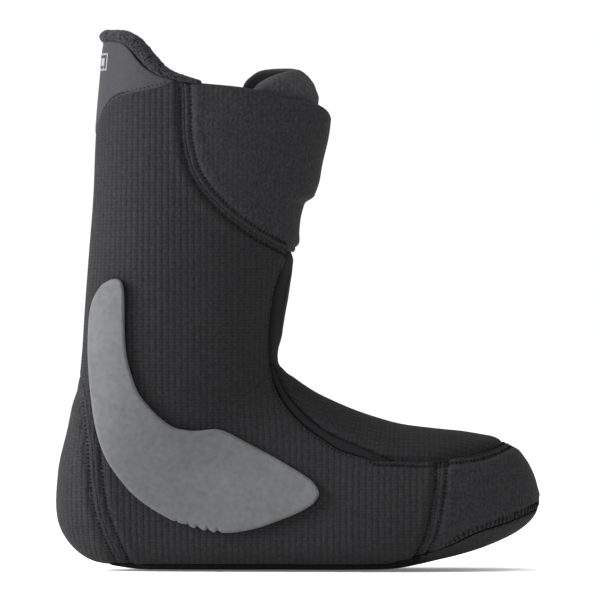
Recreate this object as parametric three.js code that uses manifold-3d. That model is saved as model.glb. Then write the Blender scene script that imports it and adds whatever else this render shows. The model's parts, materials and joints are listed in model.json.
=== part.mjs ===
// Removable inner liner of a snowboard boot, right foot, as separate panels, pads and boards.
// Frame: +X towards the toe, +Y towards the medial (inner) side, +Z up, in millimetres.
// The sole rests on z = 0, and the middle of the liner's length and width is at the origin.
import * as THREE from 'three';
import { ParametricGeometry } from 'three/addons/geometries/ParametricGeometry.js';
import { mergeVertices } from 'three/addons/utils/BufferGeometryUtils.js';
import Module from 'manifold-3d';

const wasm = await Module();
wasm.setup();

// ---- Driving dimensions ------------------------------------------------------------------
const FOOT_LENGTH = 289.2; // heel to toe over the foam
const SHAFT_HEIGHT = 323.7; // sole to the top of the collar at the back
const FOREFOOT_WIDTH = 108; // widest place across the ball of the foot
const SHAFT_WIDTH = 100; // across the cuff
const PANEL_THICKNESS = 7; // foam panel with its outer fabric
const LINING_THICKNESS = 2;
const TONGUE_THICKNESS = 8; // tongue foam and its lining behind the flaps
const TONGUE_LINING_THICKNESS = 2.6;
const STIFFENER_THICKNESS = 1.4;
const INNER_PART_THICKNESS = 2.7; // heel counter and ankle pads
const INNER_PART_DEPTH = 4; // outer fabric and foam left over them
const SOLE_SHEET_THICKNESS = 2;
const FOOTBED_THICKNESS = 6;
const JBAR_THICKNESS = 5.4;
const COLLAR_PATCH_THICKNESS = 1.2;
const LABEL_THICKNESS = 0.7;
const HOOK_AND_LOOP_THICKNESS = 0.8;
const COLLAR_LIP_RADIUS = 4.2;
const FLAP_EDGE_Y = 14; // where the lateral flap's front edge lies, past the middle
const GAP = 0.3; // clearance between neighbouring pieces
const TONGUE_SIDE_GAP = 1; // room for the tongue's sides to rise between the quarters
const SOLE_CUT = 1; // how much of the lofted underside the flat sole takes off
const RING_POINTS = 24; // points round one cross-section
const RING_COUNT = 25; // cross-sections from the collar to the toe
const FAR = 400; // beyond every side of the liner

// The shape is drawn for a nominal liner and stretched to the driving sizes.
const NOMINAL_LENGTH = 289.2;
const NOMINAL_HEIGHT = 323.7;
const NOMINAL_FOREFOOT = 108;
const NOMINAL_SHAFT = 100;
const TOE_SHIFT_START = 60; // ahead of this x the inner walls also draw back from the toe
const SMALLEST_SECTION = 1.2;

// ---- Body shape --------------------------------------------------------------------------
// Cross-sections fan out from the collar (level) round the heel to the toe (upright).
// Each row: rear or bottom point x, z; front or top point x, z; lateral and medial half widths;
// sideways shift; place of the widest point between the two ends; roundness at each end.
const SECTIONS = [
  [-114.5, 336, 22, 306, 50, 50, 0, 0.46, 2.2, 2.2],
  [-118, 300, 20, 281, 50, 50, 0, 0.46, 2.2, 2.2],
  [-121.2, 262, 17.2, 260, 50, 50, 0, 0.46, 2.2, 2.2],
  [-122.8, 224, 8.5, 226, 49.5, 49.5, 0, 0.46, 2.2, 2.2],
  [-125.4, 190, 0, 193, 48, 48, 0, 0.46, 2.2, 2.2],
  [-127.8, 158, -7.5, 160, 45, 45, 0, 0.46, 2.25, 2.2],
  [-129.6, 130, -11, 138, 43, 43, 0, 0.46, 2.3, 2.1],
  [-132, 110, -11.6, 128, 42, 42, 0, 0.46, 2.3, 2.1],
  [-138, 84, -11, 123, 41, 41, 0, 0.46, 2.3, 2.1],
  [-143.6, 58, -9, 120, 40, 40, 0, 0.45, 2.4, 2.1],
  [-143.2, 28, -6.5, 117.6, 39.5, 39.5, 0, 0.43, 2.4, 2.1],
  [-128, 8, -3, 115.2, 39.5, 39, 0, 0.4, 2.5, 2.1],
  [-100, 0.4, 3, 110.8, 40.5, 39, 0, 0.36, 2.7, 2.1],
  [-70, -1, 11, 105.8, 42.5, 39.5, 0, 0.33, 2.9, 2.1],
  [-35, -1, 20, 101.4, 45, 41, 0.2, 0.32, 3, 2.1],
  [0, -1, 32, 96.2, 48, 44, 0.3, 0.32, 3, 2.1],
  [30, -1, 46, 91.3, 51.5, 48.5, 0.5, 0.33, 3, 2.1],
  [58, 0.4, 62, 87, 52.5, 52, 0.8, 0.35, 3, 2.15],
  [85, 6.3, 82, 84.4, 51, 52.5, 1.4, 0.38, 2.9, 2.2],
  [105, 11.6, 100, 82.5, 46, 49.5, 2.6, 0.4, 2.7, 2.2],
  [121, 17.6, 115.5, 79.4, 39, 43.5, 4.2, 0.42, 2.5, 2.2],
  [132.5, 23.6, 127.5, 74.8, 31, 35.5, 5.4, 0.44, 2.3, 2.2],
  [140, 30, 136, 67, 22, 26, 6.3, 0.46, 2.2, 2.2],
  [143.8, 36.5, 141.4, 56.5, 12, 14, 6.8, 0.5, 2.1, 2.1],
  [144.6, 43, 144.2, 47.5, 2.5, 3, 7, 0.5, 2, 2],
];

const lengthScale = FOOT_LENGTH / NOMINAL_LENGTH;
const heightScale = SHAFT_HEIGHT / NOMINAL_HEIGHT;

// A place drawn on the nominal side view, stretched to the driving sizes.
function place(x, z) {
  return new THREE.Vector2(x * lengthScale, z * heightScale);
}

function column(index) {
  return SECTIONS.map((row) => row[index]);
}

function curveThrough(...columns) {
  const points = SECTIONS.map((row, i) => new THREE.Vector3(...columns.map((values) => values[i])));
  return new THREE.CatmullRomCurve3(points, false, 'catmullrom', 0.5);
}

const rearCurve = curveThrough(column(0), column(1), column(7));
const frontCurve = curveThrough(column(2), column(3), column(6));
const widthCurve = curveThrough(column(4), column(5), column(8));
const frontRoundness = curveThrough(column(9), column(9), column(9));

// One cross-section at s (0 at the collar, 1 at the toe), drawn in by the inset.
function section(s, inset) {
  const rear = rearCurve.getPoint(s);
  const front = frontCurve.getPoint(s);
  const width = widthCurve.getPoint(s);
  const low = place(rear.x, rear.y);
  const high = place(front.x, front.y);
  const length = low.distanceTo(high);
  const along = high.clone().sub(low).normalize();
  const drawnIn = Math.min(inset, (length - SMALLEST_SECTION) / 2);
  const toeShare = THREE.MathUtils.smoothstep(front.x, TOE_SHIFT_START, NOMINAL_LENGTH / 2);
  const toeShift = new THREE.Vector2(-inset * toeShare, 0);
  low.addScaledVector(along, drawnIn).add(toeShift);
  high.addScaledVector(along, -drawnIn).add(toeShift);
  const shaftShare = 1 - THREE.MathUtils.smoothstep(s, 0.25, 0.6);
  const footRatio = FOREFOOT_WIDTH / NOMINAL_FOREFOOT;
  const widthScale = THREE.MathUtils.lerp(footRatio, SHAFT_WIDTH / NOMINAL_SHAFT, shaftShare);
  return {
    low,
    high,
    lateral: Math.max(width.x * widthScale - inset, SMALLEST_SECTION),
    medial: Math.max(width.y * widthScale - inset, SMALLEST_SECTION),
    shift: front.z * widthScale,
    widest: rear.z,
    rearPower: 2 / width.z,
    frontPower: 2 / frontRoundness.getPoint(s).x,
  };
}

// How far round a half section an angle reaches: share of the way up, and share of the width.
function sectionShare(ring, angle) {
  const cosine = Math.cos(angle);
  const power = cosine > 0 ? ring.rearPower : ring.frontPower;
  const reach = Math.pow(Math.abs(cosine), power);
  const up = cosine > 0 ? ring.widest * (1 - reach) : ring.widest + (1 - ring.widest) * reach;
  return { up, out: Math.pow(Math.max(Math.sin(angle), 0), power) };
}

function sectionPoint(ring, turn, target) {
  const lateral = turn <= 0.5;
  const angle = Math.PI * 2 * (lateral ? turn : 1 - turn);
  const share = sectionShare(ring, angle);
  const out = lateral ? -ring.lateral * share.out : ring.medial * share.out;
  const spot = ring.low.clone().lerp(ring.high, share.up);
  return target.set(spot.x, ring.shift + out, spot.y);
}

// The closed body, drawn in by the inset all round; its two ends run in to a point.
function loft(inset) {
  const ends = 1 / (RING_COUNT + 2);
  const shape = (turn, v, target) => {
    const s = THREE.MathUtils.clamp((v - ends) / (1 - 2 * ends), 0, 1);
    const ring = section(s, inset);
    if (v < ends / 2 || v > 1 - ends / 2) {
      const middle = ring.low.clone().lerp(ring.high, 0.5);
      return target.set(middle.x, ring.shift, middle.y);
    }
    return sectionPoint(ring, turn % 1, target);
  };
  return toSolid(new ParametricGeometry(shape, RING_POINTS, RING_COUNT + 2));
}

// The sideways place of the surface at a point of the side view, negative on the lateral side.
function surfaceY(x, z, inset, side) {
  const spot = place(x, z);
  const offLine = (s) => {
    const ring = section(s, inset);
    const along = ring.high.clone().sub(ring.low);
    return along.cross(spot.clone().sub(ring.low));
  };
  let from = 0;
  let to = 1;
  for (let step = 0; step < 40; step += 1) {
    const middle = (from + to) / 2;
    if (offLine(middle) < 0) from = middle;
    else to = middle;
  }
  const ring = section(from, inset);
  const up = spot.distanceTo(ring.low) / ring.high.distanceTo(ring.low);
  const rear = up < ring.widest;
  const power = rear ? ring.rearPower : ring.frontPower;
  const reach = rear ? 1 - up / ring.widest : (up - ring.widest) / (1 - ring.widest);
  const out = Math.pow(Math.max(1 - Math.pow(Math.min(reach, 1), 2 / power), 0), power / 2);
  return ring.shift + (side < 0 ? -ring.lateral : ring.medial) * out;
}

// ---- Solids ------------------------------------------------------------------------------
function toSolid(geometry) {
  const bare = geometry.index ? geometry.toNonIndexed() : geometry;
  bare.deleteAttribute('normal');
  bare.deleteAttribute('uv');
  const merged = mergeVertices(bare, 1e-4);
  const corners = merged.index.array;
  const kept = [];
  for (let i = 0; i < corners.length; i += 3) {
    const [a, b, c] = [corners[i], corners[i + 1], corners[i + 2]];
    if (a !== b && b !== c && c !== a) kept.push(a, b, c);
  }
  const build = (triangles) => {
    const mesh = { numProp: 3, vertProperties: merged.attributes.position.array, triVerts: triangles };
    return new wasm.Manifold(new wasm.Mesh(mesh));
  };
  const solid = build(new Uint32Array(kept));
  if (solid.volume() > 0) return solid;
  return build(new Uint32Array(kept.reverse()));
}

// A side-view outline made into a bar from y = from to y = to.
function sideBar(outline, from, to) {
  const shape = new THREE.Shape(outline);
  const bar = new THREE.ExtrudeGeometry(shape, { depth: to - from, bevelEnabled: false });
  bar.rotateX(Math.PI / 2);
  bar.translate(0, to, 0);
  return toSolid(bar);
}

// A front-view outline (y, z) made into a bar from x = from to x = to.
function frontBar(outline, from, to) {
  const shape = new THREE.Shape(outline);
  const bar = new THREE.ExtrudeGeometry(shape, { depth: to - from, bevelEnabled: false });
  bar.applyMatrix4(new THREE.Matrix4().makeBasis(
    new THREE.Vector3(0, 1, 0),
    new THREE.Vector3(0, 0, 1),
    new THREE.Vector3(1, 0, 0),
  ));
  bar.translate(from, 0, 0);
  return toSolid(bar);
}

function block(x0, x1, y0, y1, z0, z1) {
  const box = new THREE.BoxGeometry(x1 - x0, y1 - y0, z1 - z0);
  box.translate((x0 + x1) / 2, (y0 + y1) / 2, (z0 + z1) / 2);
  return toSolid(box);
}

// A line's points moved sideways, to its left as it runs.
function moved(points, distance) {
  return points.map((point, i) => {
    const before = points[Math.max(i - 1, 0)];
    const after = points[Math.min(i + 1, points.length - 1)];
    const along = after.clone().sub(before).normalize();
    return new THREE.Vector2(point.x - along.y * distance, point.y + along.x * distance);
  });
}

function smooth(rows, count) {
  return new THREE.SplineCurve(rows.map(([x, z]) => place(x, z))).getPoints(count);
}

// The part of the side view to the left of a line, out to the far corners listed.
function leftOf(line, corners, clearance = GAP / 2) {
  const far = corners.map(([x, z]) => new THREE.Vector2(x * FAR, z * FAR));
  return sideBar([...moved(line, clearance), ...far], -FAR, FAR);
}

function rightOf(line, corners) {
  return leftOf([...line].reverse(), corners);
}

const bodies = new Map();

// The body drawn in by the inset and standing on a flat sole raised by the same amount.
function body(inset) {
  if (!bodies.has(inset)) {
    const above = block(-FAR, FAR, -FAR, FAR, Math.max(inset, 0), FAR);
    const outset = inset < 0 ? block(-FAR, FAR, -FAR, FAR, SOLE_CUT, FAR) : above;
    bodies.set(inset, loft(inset).intersect(outset));
  }
  return bodies.get(inset);
}

function layer(outer, inner) {
  return body(outer).subtract(body(inner));
}

const LATERAL = block(-FAR, FAR, -FAR, -GAP / 2, -FAR, FAR);
const MEDIAL = block(-FAR, FAR, GAP / 2, FAR, -FAR, FAR);

// ---- Seams on the side view --------------------------------------------------------------
const TOE_SEAM = smooth([[86, 110], [85, 60], [83, 42], [79, 22], [74, 11], [68, -12]], 10);
const VAMP_SEAM = smooth([[38.5, 69], [47, 66.2], [60, 65.6], [77, 65], [94, 67], [114, 70.6], [140, 82]], 10);
const THROAT = smooth([[-1, 204], [-6.6, 186], [-12, 171], [-15, 156], [-16.4, 138], [-15.9, 124],
  [-13, 111], [-7, 99.6], [3, 88.5], [16, 79], [26, 72.8], [38.5, 69]], 20);
const GUSSET_RIDGE = smooth([[-16, 124.4], [-12, 118], [-6, 106], [4.8, 94], [15.4, 85.4], [27, 79.4],
  [41, 73.6], [58, 66]], 12);
const HEEL_SEAM = smooth([[-142, 123], [-131, 116], [-126.4, 102], [-122.8, 77], [-120.6, 54],
  [-118.4, 38], [-112.6, 21], [-104, 2], [-100, -12]], 12);
const OPENING_EDGE = [...THROAT, ...VAMP_SEAM.slice(1)];
const CUFF_SEAM = smooth([[-70, 330], [-67.6, 286], [-66.4, 257], [-60.6, 236], [-47.7, 219.3],
  [-33, 206.8], [-16, 196.3], [0, 189.6], [30, 184]], 14);
const PATCH_EDGE = smooth([[-60, 297], [-73.7, 291], [-86, 287], [-99, 284.2], [-109.5, 280.4],
  [-116.5, 271.8], [-121, 262], [-132, 240]], 12);
const STROBEL = smooth([[-170, 7.4], [-60, 7.4], [45, 7.4], [60, 8.9], [70, 11.2], [80, 13.8], [93, 17.5],
  [107, 23], [123, 28], [134, 32], [144, 35.7], [170, 46]], 20);
const LIP_PATH = smooth([[-50, 292.6], [-62, 292.4], [-72, 293.8], [-80, 297], [-86.5, 303], [-92, 310.4],
  [-98, 315.6], [-105, 318.8], [-112, 319.5]], 12);
const CUFF_TOP = smooth([[-50, 288.2], [-33, 287.6], [-20, 285], [-8, 281.8], [4, 279.6], [13, 277],
  [17.6, 272.6], [24, 262]], 10);
const TONGUE_TOP = smooth([[30, 262], [14, 278], [12.6, 286], [8, 294.6], [0, 299.6], [-9, 301],
  [-19, 300.2], [-27, 295.4], [-33, 287], [-32, 262], [-24, 226], [-15, 205], [-13, 180]], 22);
const BEND_LINE = [place(-20, 190), place(-46, 320)];
const CREASE = [place(-300, 86), place(-10.8, 124.5), place(300, 166)];

const aboveStrobel = leftOf(STROBEL, [[1, 1], [-1, 1]]);
const belowStrobel = rightOf(STROBEL, [[-1, -1], [1, -1]]);
const aheadOfToeSeam = leftOf(TOE_SEAM, [[1, -1], [1, 1]]);
const behindToeSeam = rightOf(TOE_SEAM, [[0.215, 1], [-1, 1], [-1, -1]]);
const insideOpening = leftOf(OPENING_EDGE, [[1, 1], [-0.0025, 1]]);
const openingCut = leftOf(OPENING_EDGE, [[1, 1], [-0.0025, 1]], -GAP / 2);
const aboveRidgeCut = leftOf(GUSSET_RIDGE, [[0.145, 1], [-0.04, 1]], -GAP / 2);
const belowRidgeCut = leftOf([...GUSSET_RIDGE].reverse(), [[-1, -1], [0.145, -1]], -GAP / 2);
const behindHeelSeam = rightOf(HEEL_SEAM, [[-1, 0.31], [-1, -1]]);
const aheadOfHeelSeam = leftOf(HEEL_SEAM, [[1, -1], [1, 1], [-1, 1], [-1, 0.31]]);
const insideCuffSeam = leftOf(CUFF_SEAM, [[1, 1], [-0.17, 1]]);
const belowCuffSeam = rightOf(CUFF_SEAM, [[-1, 1], [-1, -1], [1, -1]]);
const abovePatchEdge = rightOf(PATCH_EDGE, [[-0.1, 1], [-1, 1]]);
const aheadOfBend = rightOf(BEND_LINE, [[-0.05, -1], [1, -1], [1, 1], [-0.115, 1]]);
const behindBend = leftOf(BEND_LINE, [[-0.115, 1], [-1, 1], [-1, -1], [-0.05, -1]]);
const aboveCrease = leftOf(CREASE, [[1, 1], [-1, 1]]);
const belowCrease = rightOf(CREASE, [[-1, -1], [1, -1]]);

// The collar's panels end under the rolled lip, and the cuff's at its own top line.
const collarLine = moved(LIP_PATH, COLLAR_LIP_RADIUS + GAP).reverse();
const topLine = [place(-170, 319.5 - COLLAR_LIP_RADIUS - GAP), ...collarLine, ...CUFF_TOP.slice(1), place(60, 262)];
const belowTop = leftOf([...topLine].reverse(), [[-1, -1], [1, -1]], 0);

// The throat runs right through the front of the ankle, as wide as its edges stand apart.
function throatBar(clearance) {
  const edge = THROAT.filter((point) => point.y > 105 * heightScale);
  const half = edge.map((point) => {
    const out = -surfaceY(point.x / lengthScale, point.y / heightScale, 0, -1);
    return new THREE.Vector2(out - clearance, point.y);
  });
  const other = half.map((point) => new THREE.Vector2(-point.x, point.y)).reverse();
  return frontBar([...half, ...other], place(-45, 0).x, FAR);
}

const throatFilling = insideOpening.add(throatBar(TONGUE_SIDE_GAP));

// ---- Outer panels ------------------------------------------------------------------------
const shell = layer(0, PANEL_THICKNESS).intersect(aboveStrobel).intersect(belowTop);

// Outline of the stiff counter that cups the heel.
function counterOutline(grow) {
  const top = smooth([[-160, 84], [-128, 84], [-106, 76], [-88, 56], [-78, 34], [-74, 14]], 14);
  return [...moved(top, grow), place(-74 + grow, 12 - grow), place(-160, 12 - grow)];
}

// A horseshoe of foam round the ankle bone, open towards the front.
function anklePadOutline(grow) {
  const centre = place(-62, 114);
  const outer = 29 + grow;
  const inner = 15 - grow;
  const opening = Math.PI / 3 - grow / inner;
  const shape = new THREE.Shape();
  shape.absarc(centre.x, centre.y, outer, opening, Math.PI * 2 - opening, false);
  shape.absarc(centre.x, centre.y, inner, Math.PI * 2 - opening, opening, true);
  return shape.getPoints(18).slice(0, -1);
}

const counterZone = (grow) => sideBar(counterOutline(grow), -FAR, FAR);
const anklePadZone = (grow) => sideBar(anklePadOutline(grow), -FAR, FAR);
const innerPartEnd = INNER_PART_DEPTH + INNER_PART_THICKNESS;
const pockets = body(INNER_PART_DEPTH - GAP).intersect(counterZone(GAP).add(anklePadZone(GAP)));
const patchZone = abovePatchEdge.subtract(body(COLLAR_PATCH_THICKNESS + GAP));

function quarter(side) {
  return shell
    .subtract(openingCut)
    .subtract(throatBar(-GAP / 2))
    .intersect(behindToeSeam)
    .intersect(belowCuffSeam)
    .intersect(aheadOfHeelSeam)
    .subtract(pockets)
    .subtract(patchZone)
    .intersect(side);
}

function heelCup() {
  return shell.intersect(behindHeelSeam).subtract(pockets);
}

function toeCap() {
  return shell.intersect(aheadOfToeSeam).subtract(openingCut);
}

// The ribbed top of the foot, from the ankle crease to the toes.
function instepPad() {
  return shell.intersect(insideOpening).intersect(belowCrease).subtract(belowRidgeCut);
}

function gusset(side) {
  const gussetEnd = GUSSET_RIDGE[GUSSET_RIDGE.length - 1].x - GAP / 2;
  return shell.intersect(insideOpening).intersect(belowCrease).subtract(aboveRidgeCut)
    .intersect(block(-FAR, gussetEnd, -FAR, FAR, -FAR, FAR)).intersect(side);
}

// ---- Cuff --------------------------------------------------------------------------------
const cuffPanel = layer(0, PANEL_THICKNESS).intersect(insideCuffSeam).intersect(belowTop);
const hookOutline = (grow) => [
  place(-30, 214 - grow),
  place(60, 214 - grow),
  place(60, 262 + grow),
  place(-30, 262 + grow),
];
const hookZone = (grow) => sideBar(hookOutline(grow), -12 - grow, FLAP_EDGE_Y - 3 + grow)
  .intersect(block(-20, FAR, -FAR, FAR, -FAR, FAR));
const loopZone = (grow) => sideBar(hookOutline(grow), -16 - grow, 22 + grow)
  .intersect(block(-20, FAR, -FAR, FAR, -FAR, FAR));
const hookDepth = PANEL_THICKNESS - HOOK_AND_LOOP_THICKNESS;
const tongueFace = PANEL_THICKNESS + GAP;

const lateralFlapSide = block(-FAR, FAR, -FAR, FLAP_EDGE_Y - GAP / 2, -FAR, FAR);
const medialFlapSide = block(-FAR, FAR, FLAP_EDGE_Y + GAP / 2, FAR, -FAR, FAR);

function cuffFront(side) {
  return cuffPanel.intersect(behindBend).intersect(side);
}

function lateralFlap() {
  return cuffPanel.intersect(aheadOfBend).intersect(lateralFlapSide)
    .subtract(body(hookDepth - GAP).intersect(hookZone(GAP)));
}

function medialFlap() {
  return cuffPanel.intersect(aheadOfBend).intersect(medialFlapSide);
}

function hookPatch() {
  return layer(hookDepth, PANEL_THICKNESS).intersect(hookZone(0));
}

// ---- Tongue ------------------------------------------------------------------------------
const loopEnd = tongueFace + HOOK_AND_LOOP_THICKNESS;
const tongueBack = PANEL_THICKNESS + TONGUE_THICKNESS;
const tongueLiningFace = tongueBack - TONGUE_LINING_THICKNESS;
const stiffenerEnd = tongueLiningFace - GAP;
const stiffenerFace = stiffenerEnd - STIFFENER_THICKNESS;
const tongueTopZone = leftOf(TONGUE_TOP, [[0.2, 0.45], [0.2, 0.6]]);

// Everything the tongue may fill: flush with the panels low down, behind the flaps higher up.
function tongueZone() {
  const low = body(0).intersect(throatFilling).intersect(aboveCrease)
    .subtract(leftOf(CUFF_SEAM, [[1, 1], [-0.17, 1]], -GAP / 2));
  const high = body(tongueFace).intersect(tongueTopZone).intersect(insideCuffSeam.add(throatFilling))
    .intersect(aboveCrease);
  return low.add(high);
}

const tongueFilling = tongueZone();

function stiffenerZone(grow) {
  return frontBar([
    new THREE.Vector2(-15 - grow, 140 - grow),
    new THREE.Vector2(15 + grow, 140 - grow),
    new THREE.Vector2(24 + grow, 272 + grow),
    new THREE.Vector2(-24 - grow, 272 + grow),
  ].map((point) => new THREE.Vector2(point.x, point.y * heightScale)), place(-45, 0).x, FAR);
}

function tongueFoam() {
  return tongueFilling.subtract(body(stiffenerEnd))
    .subtract(body(stiffenerFace - GAP).intersect(stiffenerZone(GAP)))
    .subtract(loopZone(GAP).subtract(body(loopEnd + GAP)));
}

function tongueLining() {
  return tongueFilling.intersect(layer(tongueLiningFace, tongueBack));
}

function tongueStiffener() {
  return layer(stiffenerFace, stiffenerEnd).intersect(stiffenerZone(0)).intersect(tongueFilling);
}

function loopPatch() {
  return layer(tongueFace, loopEnd).intersect(loopZone(0));
}

// ---- Lining, pads and boards -------------------------------------------------------------
const liningFace = PANEL_THICKNESS + GAP;
const liningBack = liningFace + LINING_THICKNESS;

function lining() {
  const flapZone = insideCuffSeam.intersect(leftOf([...BEND_LINE].reverse(),
    [[-0.05, -1], [1, -1], [1, 1], [-0.115, 1]], -6));
  return layer(liningFace, liningBack).intersect(belowTop)
    .subtract(leftOf(TONGUE_TOP, [[0.2, 0.45], [0.2, 0.6]], -GAP * 2))
    .subtract(flapZone)
    .subtract(throatBar(-GAP * 2).intersect(leftOf(CREASE, [[1, 1], [-1, 1]], -GAP * 2)))
    .subtract(leftOf(OPENING_EDGE, [[1, 1], [-0.0025, 1]], -GAP * 2)
      .intersect(leftOf(CREASE, [[1, 1], [-1, 1]], -GAP * 2)));
}

function heelCounter() {
  return layer(INNER_PART_DEPTH, innerPartEnd).intersect(counterZone(0));
}

function anklePad(side) {
  return layer(INNER_PART_DEPTH, innerPartEnd).intersect(anklePadZone(0)).intersect(side);
}

function soleSheet() {
  return layer(0, SOLE_SHEET_THICKNESS).intersect(belowStrobel);
}

function lastingBoard() {
  return layer(SOLE_SHEET_THICKNESS + GAP, PANEL_THICKNESS).intersect(belowStrobel);
}

function footbed() {
  const base = liningBack + GAP;
  const rim = moved(STROBEL, LINING_THICKNESS + FOOTBED_THICKNESS + 1);
  return layer(base, base + FOOTBED_THICKNESS).intersect(rightOf(rim, [[-1, -1], [1, -1]]));
}

// ---- Collar ------------------------------------------------------------------------------
function collarPatch() {
  return layer(0, COLLAR_PATCH_THICKNESS).intersect(abovePatchEdge).intersect(belowTop)
    .intersect(belowCuffSeam);
}

// The rolled fleece lip, a round cord laid along the collar's top edge from side to side.
function collarLip() {
  const depth = PANEL_THICKNESS / 2;
  const half = LIP_PATH.slice(0, -1);
  const run = (side) => half.map((point) => {
    const y = surfaceY(point.x / lengthScale, point.y / heightScale, depth, side);
    return new THREE.Vector3(point.x, y, point.y);
  });
  const back = LIP_PATH[LIP_PATH.length - 1];
  const route = [...run(-1), new THREE.Vector3(back.x, 0, back.y), ...run(1).reverse()];
  const circle = new THREE.Shape();
  circle.absarc(0, 0, COLLAR_LIP_RADIUS, 0, Math.PI * 2, false);
  return toSolid(new THREE.ExtrudeGeometry(circle, {
    steps: 30,
    curveSegments: 4,
    bevelEnabled: false,
    extrudePath: new THREE.CatmullRomCurve3(route, false, 'centripetal'),
  }));
}

function collarLabel() {
  const outline = [place(-113, 298.6), place(-112, 308.6), place(-FAR, 311), place(-FAR, 296)];
  const rim = sideBar(outline, -FAR, -8).subtract(block(-FAR, -116.6 * lengthScale, -FAR, FAR, 0, FAR));
  return layer(-GAP - LABEL_THICKNESS, -GAP).intersect(rim);
}

// ---- J-bars ------------------------------------------------------------------------------
// A foam wedge that hugs the ankle bone: an arm up the back, a foot pointing at the toes.
function jbarOutline() {
  const arm = smooth([[-106, 173.4], [-110, 174], [-117.3, 170.3], [-123, 161], [-125.2, 146], [-125.4, 124],
    [-123, 98], [-118.4, 76], [-107.2, 56.4], [-94, 42.6], [-76.4, 31.5]], 16);
  const sole = smooth([[-74, 30.6], [-60, 27.6], [-48, 25], [-40, 23.4], [-26, 25.6], [-10, 31],
    [4, 37.6], [11, 44.4], [11.6, 50], [5.4, 56.4], [-12.3, 67.1], [-30, 76.6], [-42, 83], [-50.4, 84.9],
    [-61, 83.9], [-72, 85], [-81, 90.6], [-91, 101], [-98, 114], [-102, 129], [-103.4, 146], [-104, 166]], 30);
  return [...arm, ...sole];
}

function jbar(side) {
  const band = side < 0 ? [-FAR, 0] : [0, FAR];
  return layer(-GAP - JBAR_THICKNESS, -GAP).intersect(sideBar(jbarOutline(), ...band));
}

// ---- Assembly ----------------------------------------------------------------------------
const FABRIC = { color: 0x2e2e30, roughness: 0.85, metalness: 0 };
const SMOOTH_FABRIC = { color: 0x232325, roughness: 0.9, metalness: 0 };
const FLEECE = { color: 0x38383b, roughness: 0.95, metalness: 0 };
const GREY_FOAM = { color: 0x747679, roughness: 0.75, metalness: 0 };
const GREY_PATCH = { color: 0x5c5b60, roughness: 0.7, metalness: 0 };
const WHITE_FOAM = { color: 0xc8c8c4, roughness: 0.9, metalness: 0 };
const BOARD = { color: 0x8a7d68, roughness: 0.8, metalness: 0 };
const PLASTIC = { color: 0x9aa0a6, roughness: 0.5, metalness: 0 };
const HOOK_TAPE = { color: 0x1b1b1d, roughness: 0.95, metalness: 0 };
const LABEL = { color: 0xb4b4b8, roughness: 0.6, metalness: 0 };

const pieces = [
  ['quarter_lateral', quarter(LATERAL), FABRIC],
  ['quarter_medial', quarter(MEDIAL), FABRIC],
  ['heel_cup', heelCup(), FABRIC],
  ['toe_cap', toeCap(), FABRIC],
  ['instep_pad', instepPad(), FABRIC],
  ['gusset_lateral', gusset(LATERAL), SMOOTH_FABRIC],
  ['gusset_medial', gusset(MEDIAL), SMOOTH_FABRIC],
  ['cuff_front_lateral', cuffFront(LATERAL), FABRIC],
  ['cuff_front_medial', cuffFront(MEDIAL), FABRIC],
  ['cuff_flap_lateral', lateralFlap(), FABRIC],
  ['cuff_flap_medial', medialFlap(), FABRIC],
  ['flap_hook_patch', hookPatch(), HOOK_TAPE],
  ['tongue_loop_patch', loopPatch(), HOOK_TAPE],
  ['tongue_foam', tongueFoam(), FABRIC],
  ['tongue_lining', tongueLining(), FLEECE],
  ['tongue_stiffener', tongueStiffener(), PLASTIC],
  ['lining', lining(), FLEECE],
  ['heel_counter', heelCounter(), PLASTIC],
  ['ankle_pad_lateral', anklePad(LATERAL), WHITE_FOAM],
  ['ankle_pad_medial', anklePad(MEDIAL), WHITE_FOAM],
  ['sole_sheet', soleSheet(), FABRIC],
  ['lasting_board', lastingBoard(), BOARD],
  ['footbed', footbed(), WHITE_FOAM],
  ['collar_patch', collarPatch(), GREY_PATCH],
  ['collar_lip', collarLip(), FLEECE],
  ['collar_label', collarLabel(), LABEL],
  ['jbar_lateral', jbar(-1), GREY_FOAM],
  ['jbar_medial', jbar(1), GREY_FOAM],
];

function toMesh(name, solid, look) {
  const { vertProperties, triVerts, numProp } = solid.getMesh();
  const geometry = new THREE.BufferGeometry();
  const points = new Float32Array((vertProperties.length / numProp) * 3);
  for (let i = 0; i < points.length / 3; i += 1) {
    points.set(vertProperties.subarray(i * numProp, i * numProp + 3), i * 3);
  }
  geometry.setAttribute('position', new THREE.BufferAttribute(points, 3));
  geometry.setIndex(new THREE.BufferAttribute(triVerts, 1));
  const mesh = new THREE.Mesh(geometry, new THREE.MeshStandardMaterial(look));
  mesh.name = name;
  return mesh;
}

const liner = new THREE.Group();
liner.name = 'snowboard_boot_liner';
for (const [name, solid, look] of pieces) {
  liner.add(toMesh(name, solid, look));
}
const extent = new THREE.Box3().setFromObject(liner);
const middle = extent.getCenter(new THREE.Vector3());
liner.position.set(-middle.x, -middle.y, -extent.min.z);

export default liner;
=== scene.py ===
import json
import logging
import math
from collections.abc import Callable
from dataclasses import dataclass, field
from enum import Enum

import bmesh
import bpy
import numpy as np
from mathutils import Matrix, Vector

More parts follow.
